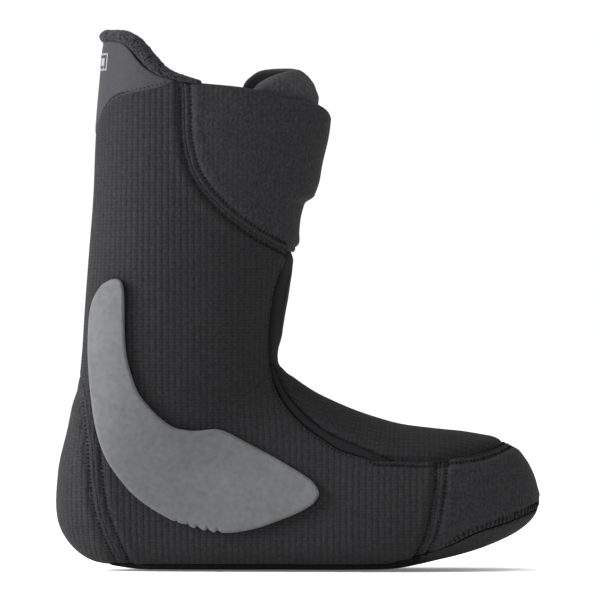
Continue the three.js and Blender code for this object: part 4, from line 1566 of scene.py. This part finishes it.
@dataclass
class Tongue:
    """The padded tongue with the instep below it, as one cover.

    Args:
        depth: how far in the tongue's back lies.
        behind_flaps: how far in its face lies behind the flaps.
        top_panel: height where the top panel starts, whose colour is painted lighter: painted light from
            above.
        band: heights between which the smooth band along the throat runs.
        bend_low: where the cover starts to move with the tongue; not used.
        bend_high: where it moves fully; not used.
    """

    depth: float = 15.0
    behind_flaps: float = 7.6
    top_panel: float = 262.0
    band: tuple[float, float] = (118.0, 206.0)
    bend_low: tuple[float, float, float] = (8.0, 0.0, 106.0)
    bend_high: tuple[float, float, float] = (-16.0, 0.0, 146.0)

    def face(self, points: Array) -> Array:
        """How far in the tongue's face lies: flush low down, behind the flaps higher up.

        Args:
            points: places on the form, in millimetres.

        Returns:
            Depths in from the form.
        """
        z = points[:, 2]
        ahead = 1.1 * smoothstep(z, 126, 140) * (1 - smoothstep(z, 160, 180))
        return 5.6 * smoothstep(z, 184, 196) + (self.behind_flaps - 5.6) * smoothstep(z, 214, 232) - ahead

    def build(self, bench: Bench) -> None:
        """Makes the cover, the side gussets and the hook and loop.

        Args:
            bench: what every sub-assembly shares.
        """
        form = bench.form
        opening, ridge = shifted(OPENING, form), shifted(GUSSET_RIDGE, form)
        near, far = shifted(TONGUE_NEAR, form), shifted(TONGUE_FAR, form)

        def keep(points: Array) -> Array:
            """Distance in from the cover's edge.

            Args:
                points: places on the form, in millimetres.

            Returns:
                Positive inside the cover.
            """
            x, y, z = points.T
            share = smoothstep(y, -14, 10)
            drawn = points.copy()
            drawn[:, 0] -= self.behind_flaps * smoothstep(x, -25, 12)
            above = near(drawn) * (1 - share) + far(drawn) * share
            low = np.minimum(np.minimum(opening(points), ridge(points)) - 0.15, 203 - z)
            low = np.where(z > 205, -5.0, low)
            return np.where(z > 178, np.maximum(low, above), low)

        def outer(points: Array, edge: Array) -> Array:
            """Face depth with rolled edges.

            Args:
                points: places on the form, in millimetres.
                edge: distance of each from the nearest edge.

            Returns:
                Depths in from the form.
            """
            z = points[:, 2]
            high = smoothstep(z, 200, 225)
            foot = 1 - smoothstep(z, 110, 135)
            depth = self.face(points) + corner_round(edge, 3.6) * high
            depth += (1 - high) * (corner_round(edge, 2.4) * (1 - smoothstep(points[:, 0], 52, 66)))
            depth += twin_relief(np.abs(opening(points)), VAMP_TWIN) * smoothstep(points[:, 0], 40, 56)
            band = (1 - smoothstep(np.abs(opening(points)), 4.6, 5.8)) * (1 - foot) * (1 - high)
            return depth + band * 0.9 - 0.5 * np.clip(edge / 14, 0, 1) * foot

        def inner(points: Array, edge: Array) -> Array:
            """Back of the cover, rolled at the top.

            Args:
                points: places on the form, in millimetres.
                edge: distance of each from the nearest edge.

            Returns:
                Depths in from the form.
            """
            z = points[:, 2]
            back = 7.0 + (self.depth - 7.0) * smoothstep(z, 128, 165)
            return back - corner_round(edge, 3.6) * smoothstep(z, 200, 225)

        def pick(points: Array, edge: Array) -> Array:
            """1 on the smooth band along the throat, 2 on the top with its colour painted lighter for light
            from above, else 0.

            Args:
                points: places on the form, in millimetres.
                edge: distance of each from the nearest edge.

            Returns:
                Index of the finish for each point.
            """
            z = points[:, 2]
            band = (np.abs(opening(points)) < 5.4) & (z > self.band[0]) & (z < self.band[1])
            return np.where(band, 1.0, np.where(z > self.top_panel, 2.0, 0.0))

        finishes = tuple(bench.finish[x] for x in ("ribbed", "smooth", "tongue_top", "inner_fleece"))
        cover = Sheet("tongue_cover", RingChart(form, (0.26, 0.74), (0.02, 0.97)), keep, outer, inner,
                      bench.front_uv, finishes, pick=pick)
        piece = cover.build()
        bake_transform(piece)
        bench.keep(piece, "embossed_fabric", "instep_pad", "tongue_foam", "tongue_lining", body=None,
                   fill=0.7)
        for side in Side:
            self.gusset(bench, side, opening, ridge)
        self.hook_and_loop(bench)

    def gusset(self, bench: Bench, side: Side, opening: Distance, ridge: Distance) -> None:
        """The smooth rounded band between the side panel and the instep.

        Args:
            bench: what every sub-assembly shares.
            side: which side of the liner.
            opening: distance ahead of the throat's edge.
            ridge: distance behind the instep's edge.
        """
        form = bench.form

        def keep(points: Array) -> Array:
            """Distance in from the band's edge."""
            own = side_sign(side) * (points[:, 1] - form.shift[1]) - 3
            return np.minimum.reduce([opening(points), -ridge(points), own, 60 - points[:, 0]]) - 0.1

        def outer(points: Array, edge: Array) -> Array:
            """A crowned band, set a little below the panels."""
            a, b = np.maximum(opening(points), 0.01), np.maximum(-ridge(points), 0.01)
            return 2.0 - 1.7 * np.sin(math.pi * a / (a + b)) ** 0.8

        span = (0.24, 0.5) if side is Side.LATERAL else (0.5, 0.76)
        band = Sheet(f"gusset_{side.name.lower()}_fabric", RingChart(form, span, (0.3, 0.86)), keep, outer,
                     level(7.0), bench.front_uv, bench.both("smooth"), spacing=0.9)
        bench.keep(band.build(), "smooth_fabric", f"gusset_{side.name.lower()}", fill=0.5)

    def hook_and_loop(self, bench: Bench) -> None:
        """The pads that hold the flap to the tongue.

        Args:
            bench: what every sub-assembly shares.
        """
        form = bench.form

        def pad(low_y: float, high_y: float, low_z: float, high_z: float) -> Distance:
            """A rounded rectangle seen from the front.

            Args:
                low_y: its lateral edge.
                high_y: its medial edge.
                low_z: its lower edge.
                high_z: its upper edge.

            Returns:
                The pad's signed distance.
            """
            centre = np.array([(low_y + high_y) / 2, (low_z + high_z) / 2])
            half = np.array([(high_y - low_y) / 2, (high_z - low_z) / 2]) - 3

            def keep(points: Array) -> Array:
                """Distance in from the pad's edge.

                Args:
                    points: places on the form, in millimetres.

                Returns:
                    Positive inside the pad.
                """
                off = np.abs(points[:, 1:] - centre) - half
                outside = np.linalg.norm(np.maximum(off, 0), axis=1)
                inside = np.minimum(np.max(off, axis=1), 0)
                return 3 - outside - inside
            return keep

        loop = Sheet("tongue_loop_tape", RingChart(form, (0.4, 0.6), (0.0, 0.3)), pad(-16, 20, 236, 264),
                     level(self.behind_flaps - 0.8), level(7.9),
                     bench.front_uv, bench.both("hook"))
        bench.keep(loop.build(), "hook_tape", "tongue_loop_patch", body="tongue")
        hook = Sheet("flap_hook_tape", RingChart(form, (0.4, 0.6), (0.0, 0.3)), pad(-12, 10, 240, 262),
                     level(4.6), level(6.2),
                     bench.front_uv, bench.both("hook"))
        bench.keep(hook.build(), "hook_tape", "flap_hook_patch", body="lateral_flap")


@dataclass
class AnklePads:
    """Horseshoes of foam sewn in round the ankle bones."""

    centre: tuple[float, float] = (-62.0, 114.0)
    outer: float = 29.0
    inner: float = 15.0

    def outline(self) -> Line:
        """The horseshoe on the side view, open towards the front.

        Returns:
            The outline, in millimetres.
        """
        open_angle = math.pi / 3
        angles = np.linspace(open_angle, 2 * math.pi - open_angle, 24)
        ring = [(self.centre[0] + r * math.cos(a), self.centre[1] + r * math.sin(a))
                for r, row in ((self.outer, angles), (self.inner, angles[::-1])) for a in row]
        return Line(tuple(ring), closed=True, sharp=True)

    def build(self, bench: Bench) -> None:
        """Makes one pad on each side.

        Args:
            bench: what every sub-assembly shares.
        """
        inside = shifted(self.outline(), bench.form)
        for side in Side:
            name = f"ankle_pad_{side.name.lower()}"
            chart = SideChart(bench.form, side, (-93, 82), (-30, 146))
            pad = Sheet(name + "_foam", chart, inside, lambda p, e: 4.0 + corner_round(e, 1.2),
                        lambda p, e: 6.7 - corner_round(e, 1.2), lambda p, b: p, bench.both("pad"),
                        spacing=2.0)
            bench.keep(pad.build(), "white_foam", name, fill=0.5)


@dataclass
class AnkleWedges:
    """The grey moulded wedges, an arm up the back and a foot pointing at the toes."""

    thickness: float = 5.4
    edge: float = 1.5

    def outline(self) -> Line:
        """The wedge's side view, with small lobes and notches under it.

        Returns:
            The outline, in millimetres.
        """
        arm = Line(((-106, 173.6), (-108.6, 174.4), (-112.6, 173.4), (-117.3, 170.3), (-122, 163.1),
                    (-124.6, 153.7), (-125.6, 138.3), (-125.4, 124), (-123.8, 105.1), (-120.8, 86),
                    (-115.5, 69.6), (-107.2, 56.4), (-97.8, 45.7), (-87.1, 37.5), (-76.4, 31.4),
                    (-72.9, 29.9))).inner()
        tips = ((-72.3, 30.9), (-65.7, 29.1), (-60, 28.0), (-53.9, 26.5), (-48, 25.7))
        lobes = ((-69.4, 28.7), (-62.6, 26.2), (-56.8, 24.9), (-51, 23.8))
        notched = []
        for index, tip in enumerate(tips):
            notched.append(tip)
            if index < len(lobes):
                a, b = lobes[index], tips[index + 1]
                notched += [(tip[0] + 0.9, tip[1] - 1.5), a, ((a[0] + b[0]) / 2 + 0.6, a[1] - 0.5),
                            (b[0] - 0.7, b[1] - 1.7)]
        foot = Line(((-47.1, 24.3), (-44.5, 23.3), (-36, 23.8), (-24.2, 26.2), (-12.3, 30.3), (-0.5, 35.1),
                     (7.8, 39.8), (11.4, 43.9), (12.4, 47.3), (10.4, 51.5), (5.4, 56.4), (-12.3, 67.1),
                     (-30.1, 76.6), (-40.8, 82.3), (-45.6, 84.2), (-50.4, 84.9), (-59.8, 83.9), (-66.9, 84.3),
                     (-74, 86.1), (-81.1, 90.8), (-89.4, 99.1), (-95.4, 107.4), (-99, 116.9), (-102, 128.8),
                     (-103.2, 144.2), (-103.4, 162), (-104.2, 170.3), (-105.2, 172.9))).inner()
        return Line(tuple(map(tuple, [*arm, *notched, *foot])), closed=True, sharp=True)

    def build(self, bench: Bench) -> None:
        """Moulds one wedge on each side.

        Args:
            bench: what every sub-assembly shares.
        """
        inside = shifted(self.outline(), bench.form)

        def outer(points: Array, edge: Array) -> Array:
            """The face stands proud and rounds over at its rim."""
            return -self.thickness - 0.2 + corner_round(edge, self.edge)

        for side in Side:
            name = f"jbar_{side.name.lower()}"
            chart = SideChart(bench.form, side, (-128, 20), (15, 177))
            wedge = Sheet(name + "_foam", chart, inside, outer, level(-0.1),
                          lambda p, b: p, bench.both("foam"), spacing=0.8)
            bench.keep(wedge.build(), "grey_foam", name, fill=0.9)


@dataclass
class Collar:
    """The grey patch, its plain label, and the fleece lip over the collar's edge.

    Args:
        rows: the lip's path on the side view (x, z), half height and half width.
        ring_step: distance between the lip's rings.
        around: how many cells run round it.
        fuzz_waves: how many waves make up its uneven surface.
        fuzz_height: height of each wave.
        closing_rings: over how many rings its ends close.
    """

    rows: tuple[tuple[float, float, float, float], ...] = (
        (-57.2, 290.9, 1.2, 4.0), (-58.4, 291.1, 1.6, 4.5), (-62, 291.8, 1.7, 4.6), (-68, 293.2, 2.3, 4.7),
        (-75, 294.8, 3.2, 5.0), (-81, 297.9, 3.8, 5.1), (-86.5, 302.6, 4.5, 5.3), (-91.5, 308.6, 4.5, 5.3),
        (-97, 314.6, 4.4, 5.3), (-103.5, 318.4, 4.2, 5.2), (-110, 319.2, 4.1, 5.0))
    ring_step: float = 1.1
    around: int = 28
    fuzz_waves: int = 24
    fuzz_height: float = 0.035
    closing_rings: float = 3.0

    def build(self, bench: Bench) -> None:
        """Makes the patch, label and lip.

        Args:
            bench: what every sub-assembly shares.
        """
        form = bench.form
        edge_line, under = shifted(PATCH_EDGE, form), shifted(LIP_UNDER, form)

        def keep(points: Array) -> Array:
            """Inside of the patch."""
            return np.minimum(-edge_line(points), under(points))

        def outer(points: Array, edge: Array) -> Array:
            """The patch's face with its pressed stitch line."""
            return -0.6 + corner_round(edge, 0.5) + 0.3 * hump(edge, 2.2, 0.7)

        patch = Sheet("collar_patch_skin", RingChart(form, (-0.3, 0.3), (0.0, 0.25)), keep, outer,
                      level(0.35), bench.round_uv, bench.both("patch"), spacing=0.8)
        bench.keep(patch.build(), "grey_patch", "collar_patch")
        self.label(bench)
        self.lip(bench)

    def label(self, bench: Bench) -> None:
        """A plain framed label with four blocks and no words, at the back of the patch.

        Args:
            bench: what every sub-assembly shares.
        """
        form = bench.form

        def box(low: float, high: float, wide: float, off: float = 0.0) -> Distance:
            """Inside of a rectangle at the back of the collar.

            Args:
                low: its lower edge.
                high: its upper edge.
                wide: half its width.
                off: how far its middle is moved over.

            Returns:
                The rectangle's signed distance.
            """
            def inside(points: Array) -> Array:
                """Distance in from its edge."""
                y, z = points[:, 1] - form.shift[1] - off, points[:, 2]
                return np.minimum.reduce([wide - np.abs(y), z - low, high - z, -100 - points[:, 0]])
            return inside

        whole, hollow = box(298.8, 309.2, 20.5), box(299.9, 308.1, 19.4)
        blocks = [box(301.6, 306.4, w, o) for o, w in ((-13.0, 3.4), (-4.0, 3.0), (4.5, 3.2), (13.0, 3.4))]

        def keep(points: Array) -> Array:
            """The frame and the blocks."""
            frame = np.minimum(whole(points), -hollow(points))
            return np.maximum.reduce([frame, *(block(points) for block in blocks)])

        label = Sheet("collar_label_print", RingChart(form, (-0.13, 0.13), (0.03, 0.12)), keep,
                      level(-0.85), level(-0.4),
                      bench.round_uv, bench.both("label"), spacing=0.45)
        bench.keep(label.build(), "label", "collar_label")

    def lip(self, bench: Bench) -> None:
        """The rolled fleece lip, a soft flattened roll laid along the collar's edge.

        Args:
            bench: what every sub-assembly shares.
        """
        form = bench.form
        rows = np.array(self.rows)
        table = spline(np.vstack([rows[0], rows, rows[-1]]), np.linspace(0, 1, 120))
        halves = []
        for side in Side:
            depth, _ = form.depth(table[:, :2] + form.shift[[0, 2]], side, 4.4)
            halves.append(np.column_stack([table[:, 0] + form.shift[0], depth, table[:, 1], table[:, 2:]]))
        back_gap = np.linspace(0, 1, 22)[1:-1, None]
        a, b = halves[0][-1], halves[1][-1]
        arch = a + (b - a) * back_gap
        bulge = np.sin(math.pi * back_gap[:, 0])
        arch[:, 0] -= 4.2 * bulge ** 0.6
        arch[:, 2] += 0.3 * bulge
        route = np.vstack([halves[0], arch, halves[1][::-1]])
        run = running_length(route[:, :3])
        steps = int(run[-1] / self.ring_step)
        even = resample(np.linspace(0, run[-1], steps), run, route)
        along = unit_rows(np.gradient(even[:, :3], axis=0))
        flat = np.array([-52.0 + form.shift[0], form.shift[1]])
        away = np.column_stack([even[:, 0] - flat[0], even[:, 1] - flat[1], np.zeros(len(even))])
        away -= along * np.sum(away * along, axis=1)[:, None]
        away = unit_rows(away)
        up = np.cross(along, away)
        up *= np.where(up[:, 2] < 0, -1, 1)[:, None]
        bm = bmesh.new()
        bmesh.ops.create_grid(bm, x_segments=steps - 1, y_segments=self.around, size=0.5)
        rng = np.random.default_rng(7)
        waves = rng.uniform(0, 2 * math.pi, (self.fuzz_waves, 3))
        for vert in bm.verts:
            i = min(int(round((vert.co.x + 0.5) * (steps - 1))), steps - 1)
            angle = (vert.co.y + 0.5) * 2 * math.pi
            from_end = min(i, steps - 1 - i) / self.closing_rings
            closing = min(1.0, math.sqrt(max(0.0, 1 - max(0.0, 1 - from_end) ** 2)) + 0.02)
            fuzz = 0.0
            for k, (p, q, _) in enumerate(waves):
                along_phase = run[-1] * i / steps * (0.35 + 0.11 * k)
                fuzz += math.sin(along_phase + p + (k % 7 - 3) * angle + q)
            fuzz *= self.fuzz_height
            high, wide = even[i, 3], even[i, 4]
            spot = (even[i, :3] + up[i] * math.sin(angle) * (high + fuzz) * closing
                    + away[i] * math.cos(angle) * (wide + fuzz) * closing)
            vert.co = Vector(spot * MM)
        bmesh.ops.remove_doubles(bm, verts=bm.verts[:], dist=1e-6)
        bmesh.ops.holes_fill(bm, edges=[e for e in bm.edges if e.is_boundary], sides=0)
        bmesh.ops.recalc_face_normals(bm, faces=bm.faces[:])
        mesh = take_mesh(bm, "collar_lip_fleece", bench.finish["fleece"])
        mesh.uv_layers.new(name="weave")
        bench.keep(place_piece(mesh), "fleece", "collar_lip", fill=0.7)

    def dress(self, bench: Bench) -> None:
        """Sews the patch's lower edge.

        Args:
            bench: what every sub-assembly shares.
        """
        rows = [SeamPath(bench.form, PATCH_EDGE, -2.2, 0.4, BOTH_SIDES, (-200, 255), (-77, 300)).all()]
        thread = StitchRow("collar_patch_stitches", rows, 2.7, 1.6, 0.7).build(bench.finish["dark_thread"])
        bench.keep(thread, "grey_patch")


@dataclass
class Inside:
    """The fleece lining, the footbed and the sole."""

    def build(self, bench: Bench) -> None:
        """Makes the skins inside and under the liner.

        Args:
            bench: what every sub-assembly shares.
        """
        form = bench.form
        under, cuff_top, strobel = (shifted(x, form) for x in (LIP_UNDER, CUFF_TOP, STROBEL))
        near, opening = shifted(TONGUE_FAR, form), shifted(OPENING, form)
        bend = shifted(Line(((-46, 320), (-20, 190)), sharp=True), form)

        def lining(points: Array) -> Array:
            """Inside of the lining: below the collar's top, clear of the tongue and flaps.

            Args:
                points: places on the form, in millimetres.

            Returns:
                Positive inside the lining.
            """
            x, _, z = points.T
            top = np.where(x < -76, under(points) - 1.0, -cuff_top(points) - 1.0)
            flap = np.where(z > 188, 6.0 - bend(points), 50.0)
            behind = np.maximum(-opening(points) - 1.0, np.where(z > 196, 20.0, -50.0))
            tongue = np.where(z > 126, behind, 50.0)
            clear = np.where(z > 178, -near(points) - 1.0, 50.0)
            return np.minimum.reduce([top, flap, tongue, clear])

        skin = Sheet("lining_fleece", RingChart(form, (-0.498, 0.498), (0.0, 0.985)), lining,
                     level(7.3), level(9.3), bench.round_uv,
                     bench.both("inner_fleece"), spacing=2.4)
        bench.keep(skin.build(), "fleece", "lining", fill=0.3)
        sole = Sheet("sole_cover", RingChart(form, (-0.34, 0.34), (0.3, 1.019)),
                     lambda p: -strobel(p) - 0.15,
                     lambda p, e: 0.3 - 0.5 * smoothstep(p[:, 0], 55, 100) + corner_round(e, 0.7),
                     level(2.0), bench.round_uv,
                     (bench.finish["sole"], bench.finish["cuff"], bench.finish["sole"]), spacing=1.6,
                     pick=lambda p, e: (p[:, 0] > 72).astype(float))
        bench.keep(sole.build(), "sole_fabric", "sole_sheet")
        rim = shifted(Line(((-170, 13), (45, 13), (70, 17), (93, 24), (123, 35), (170, 52))), form)
        footbed = Sheet("footbed_foam", RingChart(form, (-0.4, 0.4), (0.34, 0.97)),
                        lambda p: -rim(p), lambda p, e: 9.6 + corner_round(e, 1.0),
                        lambda p, e: 15.4 - corner_round(e, 2.0), bench.round_uv,
                        bench.both("inner_fleece"), spacing=2.4)
        bench.keep(footbed.build(), "white_foam", "footbed", fill=0.5)


@dataclass
class HiddenParts:
    """The stiff parts sewn inside, which keep their plain solids and get proper finishes."""

    finishes: tuple[tuple[str, str], ...] = (
        ("heel_counter", "plastic"), ("lasting_board", "board"), ("tongue_stiffener", "plastic"))

    def dress(self, bench: Bench, nodes: dict[str, bpy.types.Object]) -> None:
        """Gives each solid its finish.

        Args:
            bench: what every sub-assembly shares.
            nodes: the CAD nodes by name.
        """
        for node, finish in self.finishes:
            nodes[node].data.materials.clear()
            nodes[node].data.materials.append(bench.finish[finish])


@dataclass
class Studio:
    """Pale floor, soft light and the camera.

    Args:
        width: how much of the scene the picture takes in, in metres.
        lens: focal length, in millimetres.
        sensor: sensor width, in millimetres.
        sky: strength of the light from all round.
        rear_bias: how much stronger that light is from behind the heel.
        target: where the camera and the lamps point, in metres.
    """

    width: float = 0.36
    lens: float = 500.0
    sensor: float = 36.0
    sky: float = 1.03
    rear_bias: float = 0.38
    target: tuple[float, float, float] = (0.0012, 0.0, 0.1617)

    def build(self) -> None:
        """Sets the stage."""
        scene = bpy.context.scene
        scene.view_settings.view_transform = "Standard"
        bm = bmesh.new()
        bmesh.ops.create_grid(bm, x_segments=2, y_segments=2, size=6.0)
        floor_mesh = take_mesh(bm, "floor", self.pale())
        floor = place_piece(floor_mesh)
        floor.location.z = -0.0004
        world = bpy.data.worlds.new("studio")
        world.use_nodes = True
        tree = world.node_tree
        tree.nodes["Background"].inputs["Color"].default_value = (1, 1, 1, 1)
        coordinates = tree.nodes.new("ShaderNodeTexCoord")
        split = tree.nodes.new("ShaderNodeSeparateXYZ")
        slope = tree.nodes.new("ShaderNodeMath")
        slope.operation = "MULTIPLY_ADD"
        slope.inputs[1].default_value = -self.rear_bias
        slope.inputs[2].default_value = self.sky
        tree.links.new(coordinates.outputs["Generated"], split.inputs[0])
        tree.links.new(split.outputs["X"], slope.inputs[0])
        tree.links.new(slope.outputs[0], tree.nodes["Background"].inputs["Strength"])
        scene.world = world
        self.light("key", (-1.7, -0.42, 0.7), 1.0, 72.0)
        self.light("top", (0.35, -0.3, 1.6), 1.0, 10.0)
        camera = bpy.data.cameras.new("camera")
        camera.lens, camera.sensor_width = self.lens, self.sensor
        holder = place_piece(camera)
        distance = self.lens / self.sensor * self.width
        holder.location = Vector(self.target) + Vector((0, -distance, 0))
        holder.rotation_euler = (math.pi / 2, 0, 0)
        camera.clip_end = 100
        scene.camera = holder

    @staticmethod
    def pale() -> bpy.types.Material:
        """Near-white matte floor with a faint grain."""
        return Finish("floor_paper", (0.95, 0.95, 0.95), 0.9, 0.0, grain=3.0, grain_depth=0.0, mottle=0.0,
                      specular=0.0, glow=0.14).make()

    def light(self, name: str, place: tuple[float, float, float], size: float, watts: float) -> None:
        """One soft lamp aimed at the liner.

        Args:
            name: the lamp's name.
            place: where it stands, in metres.
            size: its width, in metres.
            watts: its power.
        """
        lamp = bpy.data.lights.new(name, "AREA")
        lamp.size, lamp.energy = size, watts
        holder = place_piece(lamp)
        holder.location = place
        direction = Vector(self.target) - Vector(place)
        holder.rotation_euler = direction.to_track_quat("-Z", "Y").to_euler()


def main() -> None:
    """Builds every sub-assembly in order and sets the stage."""
    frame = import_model()
    bench = Bench()
    uppers, cuff, tongue, collar = Uppers(), Cuff(), Tongue(), Collar()
    for assembly in (uppers, cuff, tongue, collar, AnklePads(), AnkleWedges(), Inside()):
        assembly.build(bench)
    for assembly in (uppers, cuff, collar):
        assembly.dress(bench)
    HiddenParts().dress(bench, frame["nodes"])
    Studio().build()


if __name__ == "__main__":
    logging.basicConfig(level=logging.INFO)
    main()
